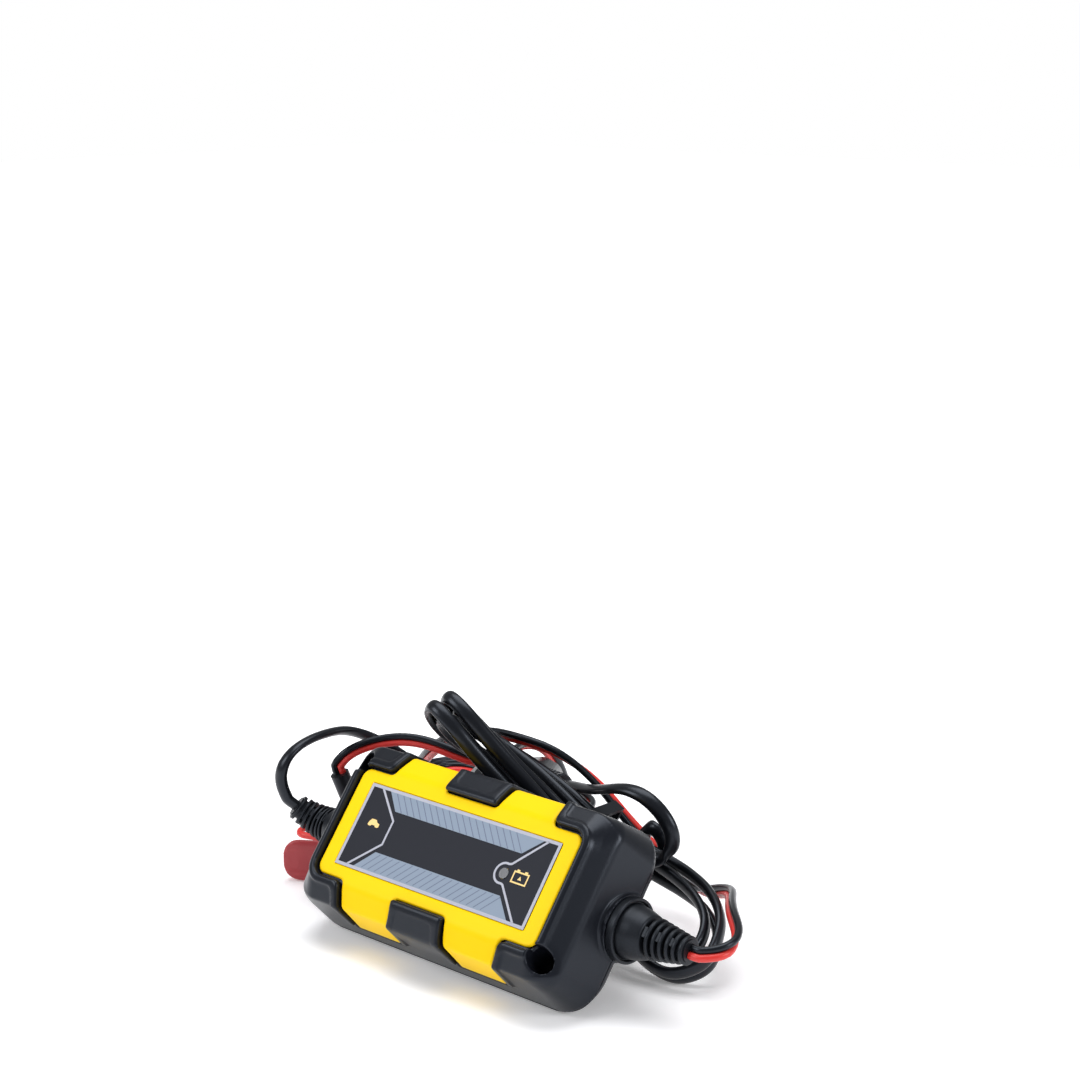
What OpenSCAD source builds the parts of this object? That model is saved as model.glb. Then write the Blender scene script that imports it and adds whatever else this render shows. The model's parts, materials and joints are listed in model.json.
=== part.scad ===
// Small wall-plug battery charger with its mains lead folded into a hank,
// its output lead and two spring clamps, resting on the rear long edge of its casing.
// The casing is drawn flat (u along the length, v across, n out of the face) and then leaned back.

/* [Casing] */
// Length of the casing at the joint between its two shells
case_len = 122.4; // [110:0.5:160]
// Width of the casing at the joint between its two shells
case_wid = 62.4; // [60:0.2:90]
// Depth of the front shell, from the yellow face to the shell joint
front_depth = 23; // [21:0.5:30]
// Depth of the rear shell, from the shell joint to the back
rear_depth = 13; // [12:0.5:18]
// Wall thickness of both shells
wall = 2.2; // [1.6:0.1:2.6]
// Corner radius of the casing at the shell joint
corner_r = 11; // [9:0.5:13]
// Height of the black rim above the yellow face
rim_rise = 1; // [0.6:0.1:1.4]
// Slope of the rear flanks; the casing rests on the lower one
flank = 38.6; // [34:0.1:42]

/* [Face] */
// Length of the yellow plate
plate_len = 98; // [90:0.5:100]
// Width of the yellow plate between its folds
plate_flat = 41.6; // [38:0.2:44]
// Thickness of the yellow plate
plate_t = 1.4; // [1:0.1:1.6]
// Length of the label
label_len = 85; // [70:0.5:90]
// Width of the label
label_wid = 29.5; // [22:0.5:32]
// Half length of the clip notch in the plate
clip_half = 11.7; // [9:0.1:14]
// Distance of the charge light from the middle of the label
led_at = 26; // [20:0.5:30]
// Radius of the charge light's window
led_r = 1.8; // [1.4:0.1:2.4]

/* [Fixing holes] */
// Distance of each fixing hole from the middle, along the length
hole_u = 51.7; // [48:0.1:54]
// Distance of each fixing hole from the middle, across the width
hole_v = 21.2; // [18:0.1:23]
// Radius of the screw head's counterbore
head_r = 3.9; // [3:0.1:4.2]
// Radius of the screw hole in the rear shell
fix_r = 2.3; // [1.6:0.1:2.6]
// Thickness of the floor that the screw clamps
fix_floor = 4; // [3:0.5:6]

/* [Leads] */
// Width of the flat mains lead
mains_w = 5.2; // [4.4:0.1:6]
// Thickness of the flat mains lead
mains_t = 3.2; // [2.6:0.1:3.6]
// Width of the twin output lead
twin_w = 5; // [4:0.1:5.4]
// Thickness of the twin output lead, which is the diameter of one core
core_d = 2.5; // [2:0.1:2.8]
// Number of loops in the mains hank
mains_loops = 3; // [2:1:3]
// Number of loops in the output hank
output_loops = 3; // [2:1:4]

/* [Clamps] */
// Length of each clamp's handle, from pivot to end
handle_len = 42; // [36:0.5:50]
// Length of each clamp's jaw, from pivot to tip
jaw_len = 33; // [28:0.5:40]
// Width of each clamp across its handles' sides
clamp_w = 16; // [15:0.5:20]
// Radius of the clamp's pivot pin
pin_r = 1.5; // [1.2:0.1:1.8]

/* [Hidden] */

smooth = 64;
hull_smooth = 32;
gap = 0.15;          // clearance of a piece in its seat
touch = 0.01;        // overlap that makes a cut clean
shell_black = [0.17, 0.18, 0.2];
cord_black = [0.1, 0.1, 0.11];
steel = [0.75, 0.76, 0.78];

// ---- casing outline: [depth below the yellow face, half length, half width, corner radius]
side_fold = plate_flat / 2 + 0.4;
end_fold = case_len / 2 - 9.2;
bevel_drop = 2.7;
ridge_drop = 5.9;
half_l = case_len / 2;
half_w = case_wid / 2;
back = front_depth + rear_depth;
lean = 90 - flank;
band = 2;            // straight band of the rear shell before its flanks
flank_in = tan(flank);
front_layers = [[-rim_rise, end_fold, side_fold, 2],
    [bevel_drop, half_l - 6.1, half_w - 2.8, corner_r - 6],
    [ridge_drop, half_l - 3.5, half_w - 2.35, corner_r - 5],
    [front_depth, half_l, half_w, corner_r]];
rear_step = 0.3;
back_round = 1;
flank_end = (rear_depth - band - back_round) * flank_in + rear_step;
rear_layers = [[front_depth + 2 * touch, half_l, half_w, corner_r],
    [front_depth + band, half_l - rear_step, half_w - rear_step, corner_r],
    [back - back_round, half_l - flank_end, half_w - flank_end, corner_r - 6],
    [back, half_l - flank_end - 1.3, half_w - flank_end - 1.3, corner_r - 7]];
front_hollow = [[plate_t + 2, end_fold - 3.4, side_fold - 2.6, 2],
    [ridge_drop + 0.6, half_l - 3.8 - wall - 0.6, half_w - 2.5 - wall - 1.8, corner_r - 6],
    [front_depth + touch, half_l - wall, half_w - wall, corner_r - wall]];
hollow_end = (rear_depth - band - wall) * flank_in + rear_step + wall / cos(flank);
rear_hollow = [[front_depth - touch, half_l - wall, half_w - wall, corner_r - wall],
    [front_depth + band, half_l - wall - 0.6, half_w - wall - 0.6, corner_r - wall],
    [back - wall, half_l - hollow_end, half_w - hollow_end, corner_r - wall - 5.5]];

// ---- how the leaned casing sits: its rear long edge on the ground, its middle over the origin
rear_edge = [for (k = rear_layers, s = [-1, 1]) [s * k[2], -k[0]]];
front_edge = [for (k = front_layers, s = [-1, 1]) [s * k[2], -k[0]]];
edge_pts = concat(rear_edge, front_edge);
edge_y = [for (e = edge_pts) e[0] * cos(lean) - e[1] * sin(lean)];
edge_z = [for (e = edge_pts) e[0] * sin(lean) + e[1] * cos(lean)];
case_y = -(min(edge_y) + max(edge_y)) / 2;
case_z = -min(edge_z);

module placed() {
    translate([0, case_y, case_z]) rotate([lean, 0, 0]) children();
}

module slab(half_x, half_y, r) {
    for (sx = [-1, 1], sy = [-1, 1])
        translate([sx * (half_x - r), sy * (half_y - r), 0])
            cylinder(r = r, h = 0.01, $fn = hull_smooth);
}

module envelope(layers) {
    hull() for (k = layers) translate([0, 0, -k[0]]) slab(k[1], k[2], k[3]);
}

// ---- yellow plate: a folded strip, cut to its outline
plate_half = plate_len / 2;
plate_fold = plate_flat / 2;
fold_out = [half_w - 3.5, -3.5];       // where the sloping flank ends
skirt_out = [half_w - 1.1, -15.2];     // lower edge of the plate's side skirt
notch_v = plate_fold - 1.5;
notch_u = plate_half - 13.4;

module strip(drop, half) {
    rotate([90, 0, 90]) translate([0, 0, -half]) linear_extrude(2 * half)
        polygon([[-plate_fold + drop / 4, -drop], [-fold_out[0] + drop, fold_out[1] - drop / 2],
            [-skirt_out[0] + drop, skirt_out[1] - drop / 4],
            [-skirt_out[0] + drop, -front_depth], [skirt_out[0] - drop, -front_depth],
            [skirt_out[0] - drop, skirt_out[1] - drop / 4], [fold_out[0] - drop, fold_out[1] - drop / 2],
            [plate_fold - drop / 4, -drop]]);
}

module plate_outline(grow) {
    offset(delta = grow) offset(r = 1.4, $fn = 24) offset(delta = -1.4) union() {
        square([2 * plate_half, 2 * notch_v], center = true);
        for (sv = [-1, 1], su = [-1, 1]) scale([su, sv])
            polygon([[clip_half, notch_v - 3], [clip_half, notch_v],
                [clip_half + 0.6, fold_out[0]], [clip_half + 3.6, skirt_out[0] + 2],
                [notch_u - 2.8, skirt_out[0] + 2], [notch_u - 1, fold_out[0]],
                [notch_u, notch_v], [notch_u, notch_v - 3]]);
    }
}

module plate_band(drop, grow) {
    intersection() {
        strip(drop, plate_half + 4);
        translate([0, 0, skirt_out[1]]) linear_extrude(30) plate_outline(grow);
    }
}

module face_plate() {
    color([1, 0.88, 0.02]) placed() difference() {
        plate_band(0, 0);
        translate([0, 0, -0.001]) strip(plate_t, plate_half + 5);
        label_pocket();
        light_bore(led_r + gap);
    }
}

label_t = 0.5;
module label_pocket() {
    translate([-label_len / 2, -label_wid / 2, -label_t]) cube([label_len, label_wid, 2]);
}

module light_bore(r) {
    translate([led_at, 0, -8]) cylinder(r = r, h = 12, $fn = smooth);
}

module label_panel() {
    color([0.2, 0.21, 0.23]) placed() difference() {
        translate([-label_len / 2, -label_wid / 2, -label_t]) cube([label_len, label_wid, label_t]);
        light_bore(led_r + gap);
    }
}

window_top = 0.25;
module light_window() {
    color([0.75, 0.8, 0.85, 0.6]) placed() union() {
        translate([led_at, 0, -6.5]) cylinder(r = led_r, h = 6.5 + window_top, $fn = smooth);
        translate([led_at, 0, -5.4]) cylinder(r = led_r + 1.2, h = 2, $fn = smooth);
    }
}

// ---- shells
hole_at = [[-hole_u, hole_v], [hole_u, -hole_v]];
boss_at = [[hole_u - 2.5, hole_v - 2], [2.5 - hole_u, 2 - hole_v],
    [0, half_w - wall - 5], [0, wall + 5 - half_w]];
post_r = head_r + 1.7;
boss_r = 3.4;
screw_r = 1.5;
screw_len = 14;
screw_seat = back - 8.5;
relief_neck = 6.8;
relief_flange = 10.6;
relief_inner = 8.4;
pad_r = relief_flange + 0.3;
seal_d = 1.2;

module along_lead(from, r, len) {
    for (s = [-1, 1]) translate([s * from, 0, -front_depth]) rotate([0, s * 90, 0])
        cylinder(r = r, h = len, $fn = smooth);
}

module relief_holes() {
    along_lead(half_l - wall - 12, relief_inner + gap, 12);
    along_lead(half_l - wall - 1, relief_neck + gap, wall + 2);
}

module at_each(points, drop) {
    for (p = points) translate([p[0], p[1], -drop]) children();
}

module clip_tab(sv) {
    rise = 1.6;
    scale([1, sv, 1]) rotate([90, 0, 90]) translate([0, 0, gap - clip_half])
        linear_extrude(2 * (clip_half - gap))
            polygon([[notch_v + gap, -plate_t - 0.4], [notch_v + gap, rise - 0.4], [notch_v + 0.8, rise],
                [plate_fold + 0.4, rise], [fold_out[0] + 0.9, fold_out[1] + rise - 0.3],
                [fold_out[0] + 1.7, fold_out[1] - 0.8], [half_w - 1.6, -13], [half_w - 4, -13]]);
}

module plate_pocket() {
    difference() {
        translate([0, 0, skirt_out[1] - gap]) linear_extrude(30) plate_outline(gap);
        strip(plate_t + gap, plate_half + 5);
    }
}

module front_walls() {
    difference() {
        envelope(front_layers);
        envelope(front_hollow);
    }
    intersection() {
        envelope(front_layers);
        at_each(hole_at, front_depth) cylinder(r = post_r, h = front_depth + 2, $fn = smooth);
    }
}

module front_shell() {
    color(shell_black) placed() difference() {
        union() {
            difference() {
                front_walls();
                plate_pocket();
            }
            for (sv = [-1, 1]) clip_tab(sv);
            at_each(boss_at, front_depth) cylinder(r = boss_r, h = front_depth - 5, $fn = smooth);
            difference() {
                along_lead(half_l - wall - 5, pad_r, wall + 5);
                translate([0, 0, -front_depth - back]) cube([3 * half_l, 3 * half_w, 2 * back], center = true);
            }
        }
        at_each(hole_at, front_depth + 1) cylinder(r = head_r, h = front_depth + 6, $fn = smooth);
        at_each(boss_at, front_depth + 1) cylinder(r = screw_r, h = 10, $fn = smooth);
        light_bore(led_r + gap);
        translate([led_at, 0, -5.5]) cylinder(r = led_r + 1.2 + gap, h = 2.2, $fn = smooth);
        relief_holes();
        seal_ring(seal_d / 2 + 0.1, 0.1);
    }
}

stand_at = [[-38, -16.5], [38, 16.5], [-38, 16.5], [38, -16.5]];
board_top = back - 8;
board_t = 1.6;
board_u = 44;
board_v = 20;
stand_r = 2.6;
fix_seat = back - 9;

module rear_shell() {
    color(shell_black) placed() difference() {
        union() {
            difference() {
                envelope(rear_layers);
                envelope(rear_hollow);
            }
            intersection() {
                envelope(rear_layers);
                union() {
                    at_each(hole_at, back + 1) cylinder(r = post_r, h = rear_depth + 1 - gap, $fn = smooth);
                    at_each(boss_at, back + 1) cylinder(r = boss_r, h = rear_depth + 1 - gap, $fn = smooth);
                    at_each(stand_at, back) cylinder(r = stand_r, h = back - board_top - board_t, $fn = smooth);
                }
            }
            intersection() {
                along_lead(half_l - wall - 9, pad_r, wall + 9);
                translate([0, 0, -front_depth - back]) cube([3 * half_l, 3 * half_w, 2 * back], center = true);
            }
        }
        at_each(hole_at, fix_seat) cylinder(r = head_r, h = rear_depth, $fn = smooth);
        at_each(hole_at, back + 1) cylinder(r = fix_r, h = rear_depth, $fn = smooth);
        at_each(hole_at, back + 1) cylinder(r = head_r - 0.4, h = back + 1 - fix_seat - fix_floor, $fn = smooth);
        at_each(boss_at, back + 1) cylinder(r = screw_r + 0.3, h = rear_depth + 2, $fn = smooth);
        at_each(boss_at, back + 1) cylinder(r = 2.9, h = back + 1 - screw_seat, $fn = smooth);
        at_each(stand_at, back - 2) cylinder(r = 0.9, h = 8, $fn = smooth);
        relief_holes();
        seal_ring(seal_d / 2, -0.1);
    }
}

// seal: a square-section loop lying in the joint between the shells, broken at the two lead exits
seal_in = 0.5;
module seal_ring(half_h, wider) {
    w = 0.4 + (wider > 0 ? 0.1 : 0);
    translate([0, 0, -front_depth - half_h]) linear_extrude(2 * half_h) difference() {
        seal_outline(seal_in + 0.3 - (wider > 0 ? 0.1 : 0));
        seal_outline(seal_in + 0.3 + 2 * w);
    }
}

module seal_outline(inset) {
    r = corner_r - inset;
    for (sx = [-1, 1], sy = [-1, 1])
        translate([sx * (half_l - corner_r), sy * (half_w - corner_r)]) circle(r = r, $fn = smooth);
    square([2 * (half_l - corner_r), 2 * (half_w - inset)], center = true);
    square([2 * (half_l - inset), 2 * (half_w - corner_r)], center = true);
}

module case_seal() {
    color([0.35, 0.36, 0.38]) placed() difference() {
        translate([0, 0, -front_depth - seal_d / 2 + 0.05]) linear_extrude(seal_d) difference() {
            seal_outline(seal_in + 0.35);
            seal_outline(seal_in + 1.05);
        }
        relief_holes();
    }
}

module case_screws() {
    color(steel) placed() at_each(boss_at, screw_seat) difference() {
        union() {
            translate([0, 0, -2.2]) cylinder(r = 2.6, h = 2.2 - 0.02, $fn = smooth);
            translate([0, 0, -1]) cylinder(r = screw_r - 0.03, h = screw_len, $fn = smooth);
        }
        for (a = [0, 90]) translate([0, 0, -2.2]) rotate([0, 0, a]) cube([3, 0.7, 2], center = true);
    }
}

// ---- strain reliefs: [distance from the wall, radius] of the turned profile
relief_wall = half_l;
flange_t = 3;
cone_len = 11;
rib_n = 6;
rib_pitch = 2.35;
rib_t = 1.35;
tip_r = 4.1;
rib_r0 = 6.6;
rib_lap = 0.5;
bend_each = 8;       // turn of each rib of the bent relief
bent_n = 7;
bend_roll = 12;      // the way it bends, from straight out of the face

module relief_root() {
    translate([0, 0, -wall]) rotate_extrude($fn = smooth)
        polygon([[0, -2.2], [relief_inner, -2.2], [relief_inner, -gap], [relief_neck, -gap],
            [relief_neck, wall + gap],
            [relief_flange, wall + gap], [relief_flange, wall + flange_t - 0.6],
            [relief_flange - 0.6, wall + flange_t], [9.2, wall + flange_t],
            [8.3, wall + flange_t + 3.5], [rib_r0, wall + flange_t + cone_len - 3],
            [rib_r0 - 1.7, wall + flange_t + cone_len - 3], [0, wall + flange_t + cone_len - 3]]);
}

function rib_r(i, n) = rib_r0 - (rib_r0 - tip_r - 0.3) * i / (n - 1);

ribs_from = flange_t + cone_len - 3;
module output_strain_relief() {
    color(cord_black) placed() translate([half_l, 0, -front_depth]) rotate([0, 90, 0]) union() {
        relief_root();
        translate([0, 0, ribs_from - touch]) cylinder(r = tip_r, h = rib_n * rib_pitch + rib_lap, $fn = smooth);
        for (i = [0 : rib_n - 1]) translate([0, 0, ribs_from + (i + 1) * rib_pitch - rib_t])
            cylinder(r = rib_r(i, rib_n), h = rib_t, $fn = smooth);
    }
}

// the bent relief: rings along an arc, [distance along it, radius]
bent_ribs = [for (i = [0 : bent_n - 1]) each [[i * rib_pitch - (i == 0 ? 0.5 : 0), tip_r],
    [(i + 1) * rib_pitch - rib_t - 0.05, tip_r], [(i + 1) * rib_pitch - rib_t, rib_r(i, bent_n)],
    [(i + 1) * rib_pitch - 0.05, rib_r(i, bent_n)]]];
bent_rings = concat(bent_ribs, [[bent_n * rib_pitch, tip_r], [bent_n * rib_pitch + rib_lap, tip_r]]);
arc_r = rib_pitch / (bend_each * PI / 180);
function arc_turn(d) = bend_each * d / rib_pitch;
function arc_at(d) = [arc_r * (1 - cos(arc_turn(d))), 0, arc_r * sin(arc_turn(d))];
function arc_ring(d, r, sides) = [for (k = [0 : sides - 1]) let (a = 360 * k / sides)
    arc_at(d) + r * cos(a) * [cos(arc_turn(d)), 0, -sin(arc_turn(d))] + r * sin(a) * [0, 1, 0]];

module mains_strain_relief() {
    color(cord_black) placed() translate([-half_l, 0, -front_depth]) rotate([0, -90, 0]) union() {
        relief_root();
        translate([0, 0, ribs_from]) rotate([0, 0, bend_roll])
            skin([for (k = bent_rings) arc_ring(k[0], k[1], 24)]);
    }
}

// ---- electronics, standing on the board with their leads towards the back
module on_board(u, v) {
    placed() translate([u, v, -board_top]) children();
}

module circuit_board() {
    color([0.1, 0.35, 0.2]) placed() difference() {
        translate([-board_u, -board_v, -board_top - board_t]) cube([2 * board_u, 2 * board_v, board_t]);
        for (p = stand_at) translate([p[0], p[1], -board_top - 3]) cylinder(r = 1.4, h = 6, $fn = smooth);
    }
}

module board_screws() {
    color(steel) for (p = stand_at) on_board(p[0], p[1]) union() {
        translate([0, 0, 0.05]) cylinder(r = 2.2, h = 1.5, $fn = smooth);
        translate([0, 0, -4.6]) cylinder(r = 0.9, h = 4.8, $fn = smooth);
    }
}

core_l = 22;
core_w = 19;
core_h = 16;
trafo_u = 6;
module transformer_core() {
    color([0.22, 0.22, 0.24]) on_board(trafo_u, 0) translate([0, 0, 2.2]) difference() {
        translate([-core_l / 2, -core_w / 2, 0]) cube([core_l, core_w, core_h]);
        for (s = [-1, 1]) translate([s * 5.6 - 2.4, -core_w, 3]) cube([4.8, 2 * core_w, core_h - 6]);
    }
}

module transformer_bobbin() {
    color([0.85, 0.82, 0.72]) on_board(trafo_u, 0) difference() {
        translate([-core_l / 2, -core_w / 2 - 3, 0.02]) cube([core_l, core_w + 6, 2]);
        for (s = [-1, 1]) translate([s * 4 - 1, -4, -1]) cube([2, 8, 4]);
    }
}

module transformer_winding() {
    color([0.95, 0.75, 0.15]) on_board(trafo_u, 0) translate([0, 0, 5.4]) difference() {
        translate([-7.9, -core_w / 2 - 1.6, 0]) cube([15.8, core_w + 3.2, core_h - 6.6]);
        translate([-3.35, -core_w, -1]) cube([6.7, 2 * core_w, core_h]);
    }
}

module noise_choke() {
    color([0.55, 0.3, 0.12]) on_board(-30, -11) translate([0, 0, 7.2]) rotate([90, 0, 0])
        rotate_extrude($fn = smooth) translate([4.9, 0]) circle(r = 2.2, $fn = 24);
}

module mains_fuse() {
    color([0.8, 0.75, 0.65]) on_board(-40, 3) union() {
        translate([0, -4, 3]) rotate([-90, 0, 0]) cylinder(r = 2.4, h = 8, $fn = smooth);
        for (s = [-1, 1]) translate([0, s * 3, 0.02]) cylinder(r = 0.4, h = 2, $fn = smooth);
    }
}

module bridge_rectifier() {
    color([0.12, 0.12, 0.13]) on_board(-27, 4) translate([-4.5, -3.2, 0.02]) cube([9, 6.4, 3]);
}

module electrolytic(r, h) {
    rotate_extrude($fn = smooth) polygon([[0, 0], [r - 0.4, 0], [r, 0.4], [r, 1.6], [r - 0.3, 2],
        [r, 2.4], [r, h - 0.5], [r - 0.5, h], [0, h]]);
}

module mains_capacitor() {
    color([0.1, 0.2, 0.5]) on_board(-14, 12) translate([0, 0, 0.02]) electrolytic(6.2, 18);
}

module film_capacitor() {
    color([0.9, 0.75, 0.1]) on_board(-27, 14.5) translate([-6.5, -3, 0.02]) cube([13, 6, 11]);
}

module output_capacitors() {
    color([0.1, 0.25, 0.2]) for (s = [-1, 1]) on_board(32, s * 6.5) translate([0, 0, 0.02])
        electrolytic(4, 13);
}

sink_t = 2;
module heat_sink() {
    color(steel) on_board(-14, -14) union() {
        translate([-8, 0, 0.02]) cube([16, sink_t, 17]);
        for (i = [-3 : 3]) translate([i * 2.4 - 0.5, -3.4, 0.02]) cube([1, 3.5, 17]);
    }
}

module switch_transistor() {
    color([0.12, 0.12, 0.13]) on_board(-14, -14) translate([-5, sink_t + 0.02, 0.4]) union() {
        cube([10, 4.4, 12]);
        for (i = [0 : 2]) translate([2.2 + i * 2.5, 2, -0.38]) cube([0.6, 0.6, 0.5]);
    }
}

module output_diode() {
    color([0.12, 0.12, 0.13]) on_board(22, -14) translate([-3.5, -2.5, 0.02]) cube([7, 5, 2.6]);
}

module control_chip() {
    color([0.1, 0.1, 0.11]) on_board(24, 13) union() {
        translate([-5, -3, 0.2]) cube([10, 6, 1.6]);
        for (i = [0 : 6], s = [-1, 1]) translate([i * 1.27 - 4.1, s * 3.5 - 0.7, 0.02])
            cube([0.45, 1.4, 0.3]);
    }
}

module optocoupler() {
    color([0.9, 0.9, 0.88]) on_board(4, -16.5) translate([-2.4, -2.4, 0.02]) cube([4.8, 4.8, 3.4]);
}

module charge_light() {
    color([0.9, 0.95, 0.9]) on_board(led_at, 0) union() {
        translate([0, 0, 0.02]) cylinder(r = 2.2, h = 14.5, $fn = smooth);
        translate([0, 0, 14]) cylinder(r = 1.5, h = board_top - 6.9 - 14, $fn = smooth);
        translate([0, 0, board_top - 7]) cylinder(r = 1.4, h = 0.2, $fn = smooth);
    }
}

module small_resistors() {
    color([0.15, 0.15, 0.16]) for (i = [0 : 4]) on_board(12 + i * 3.2, -18)
        translate([-0.8, -0.6, 0.02]) cube([1.6, 1.2, 0.6]);
}

module mains_solder_tails() {
    color([0.3, 0.45, 0.75]) for (s = [-1, 1]) placed()
        translate([-half_l + 4.4 + gap, s * 1.3, -front_depth]) rotate([0, 90, 0])
            cylinder(r = 1.1, h = 13, $fn = smooth);
}

module output_solder_tails() {
    color([0.7, 0.1, 0.1]) for (s = [-1, 1]) placed()
        translate([half_l - 4.4 - gap, s * 1.4, -front_depth]) rotate([0, -90, 0])
            cylinder(r = core_d / 2 - 0.1, h = 16, $fn = smooth);
}

// ---- swept leads
function unit(v) = v / norm(v);
function tangent(p, i) = unit(p[min(i + 1, len(p) - 1)] - p[max(i - 1, 0)]);
function across(t, wide) = unit(wide - (wide * t) * t);

// ring of a flat lead: centre c, direction t, wide axis, half width a, half thickness b
function ring(c, t, wide, a, b, sides) = let (w = across(t, wide), n = cross(t, w))
    [for (k = [0 : sides - 1]) c + a * cos(360 * k / sides) * w + b * sin(360 * k / sides) * n];

// solid through a list of rings with the same number of points
module skin(rings) {
    n = len(rings);
    sides = len(rings[0]);
    pts = [for (r = rings, p = r) p];
    walls = [for (i = [0 : n - 2], k = [0 : sides - 1]) let (a0 = i * sides + k,
        a1 = i * sides + (k + 1) % sides) each [[a0, a0 + sides, a1], [a1, a0 + sides, a1 + sides]]];
    cap0 = [for (k = [1 : sides - 2]) [0, k, k + 1]];
    last = (n - 1) * sides;
    cap1 = [for (k = [1 : sides - 2]) [last, last + k + 1, last + k]];
    polyhedron(points = pts, faces = concat(walls, cap0, cap1), convexity = 10);
}

// wides: one wide direction per point of the path
module swept(path, wides, a, b, sides, t0 = undef, t1 = undef) {
    n = len(path);
    skin([for (i = [0 : n - 1])
        let (t = i == 0 && !is_undef(t0) ? unit(t0) : i == n - 1 && !is_undef(t1) ? unit(t1) : tangent(path, i))
        ring(path[i], t, wides[i], a, b, sides)]);
}

// wide directions turning evenly from a to b over n points
function turning(a, b, n) = [for (i = [0 : n - 1]) a * (1 - i / (n - 1)) + b * i / (n - 1)];

// ---- hank: nested flattened loops, drawn in at the waist; they twist and bow along their length
// s = [half length, fold half width, extra width at the low fold, waist half width, pitch, layer rise]
// f = [middle, along, across, out of the loops, bow, roll at the middle, twist]
function ease(x) = let (c = min(1, max(0, x))) c * c * (3 - 2 * c);
function loop_at(s, q) = [-s[0] * sin(360 * q),
    (s[1] + s[2] * sin(360 * q)) * cos(360 * q)
        - (s[1] + s[2] * sin(360 * q) - s[3]) * pow(cos(360 * q), 3)];
function loop_out(s, q) = let (d = unit(loop_at(s, q + 0.001) - loop_at(s, q - 0.001))) [d[1], -d[0]];
function hank_roll(s, f, u) = f[5] - f[6] * u / s[0];
function hank_side(s, f, u) = f[2] * cos(hank_roll(s, f, u)) + f[3] * sin(hank_roll(s, f, u));
function hank_wide(s, f, u) = unit(cross(hank_side(s, f, u), f[1] + 2 * f[4] * u / (s[0] * s[0])));
function hank_place(s, f, u, v, h) = f[0] + f[1] * u + hank_side(s, f, u) * v + hank_wide(s, f, u) * h
    + f[4] * pow(u / s[0], 2);
function hank_ring(s, f, q, out, h) = let (w = loop_at(s, q) + loop_out(s, q) * s[4] * out)
    [hank_place(s, f, w[0], w[1], h), hank_wide(s, f, w[0])];

loop_rings = 24;
hank_sides = 6;

// least gap between strands at least a third of a loop apart, taken as flat sections
function least_gap(r, wide, thick) = min([for (i = [0 : len(r) - 1], j = [i + 8 : 1 : len(r) - 1])
    let (d = r[i][0] - r[j][0], a = d * r[i][1]) max(abs(a) - wide, norm(d - a * r[i][1]) - thick)]);

// mains hank: leans over the rear edge of the casing, its low fold by the ground
hank_top_fold = [-38, 31, 66];
hank_low_fold = [64, 34, 10.8];
hank_mid = [6, 45, 34];
sight = [-0.63, 0.695, -0.344];
hank_along = unit(hank_top_fold - hank_low_fold);
hank_out = unit(cross(sight, hank_along));
hank_across = cross(hank_along, hank_out);
hank_bow = (hank_top_fold + hank_low_fold) / 2 - hank_mid;
hank_s = [norm(hank_top_fold - hank_low_fold) / 2, 18.5, -1, 2, mains_t + 2, mains_w + 1.2];
hank_f = [hank_mid, hank_along, hank_across, hank_out, hank_bow, 35, 42];
mains_q0 = -0.5;
layer_q = 1;         // where the lead climbs from the first layer to the second
mains_turns = [for (i = [0 : (mains_loops - mains_q0) * loop_rings]) let (q = mains_q0 + i / loop_rings)
    hank_ring(hank_s, hank_f, q, 2 - abs(q - layer_q), hank_s[5] * (ease((q - layer_q) * 2 + 0.5) - 0.5))];
echo(mains_hank_gap = least_gap(mains_turns, mains_w, mains_t));

function spots(r) = [for (k = r) k[0]];
function facings(r) = [for (k = r) k[1]];
function first_way(r) = unit(r[1][0] - r[0][0]);
function last_way(r) = unit(r[len(r) - 1][0] - r[len(r) - 2][0]);
function last_spot(r) = r[len(r) - 1][0];

module mains_hank() {
    color(cord_black) swept(spots(mains_turns), facings(mains_turns), mains_w / 2, mains_t / 2, hank_sides);
}

module hank_tie() {
    half = [14.2, 6.2];
    tie_t = 1.2;
    tie_u = -2;
    side = hank_side(hank_s, hank_f, tie_u);
    wide = hank_wide(hank_s, hank_f, tie_u);
    run = cross(side, wide);
    m = hank_place(hank_s, hank_f, tie_u, 1.2, 0);
    color([0.06, 0.06, 0.07]) multmatrix([[side[0], wide[0], run[0], m[0]],
        [side[1], wide[1], run[1], m[1]], [side[2], wide[2], run[2], m[2]]])
        linear_extrude(4.5, center = true) difference() {
            square([2 * (half[0] + tie_t), 2 * (half[1] + tie_t)], center = true);
            square(2 * half, center = true);
        }
}

// output hank: flat on the ground behind the clamps, one layer, the outer end first
output_s = [32, 12, 0, 2, core_d + 0.9, 0];
output_f = [[-100, 122, twin_w / 2 + 0.05], [1, 0, 0], [0, 1, 0], [0, 0, 1], [0, 0, 0], 0, 0];
output_q = output_loops + 0.25;
output_turns = [for (i = [0 : (output_loops - 0.75) * loop_rings]) let (q = output_q - i / loop_rings)
    hank_ring(output_s, output_f, q, q, 0)];
echo(output_hank_gap = least_gap(output_turns, twin_w, core_d));

module output_hank() {
    color(cord_black) swept(spots(output_turns), facings(output_turns), twin_w / 2, core_d / 2, hank_sides);
}

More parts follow.
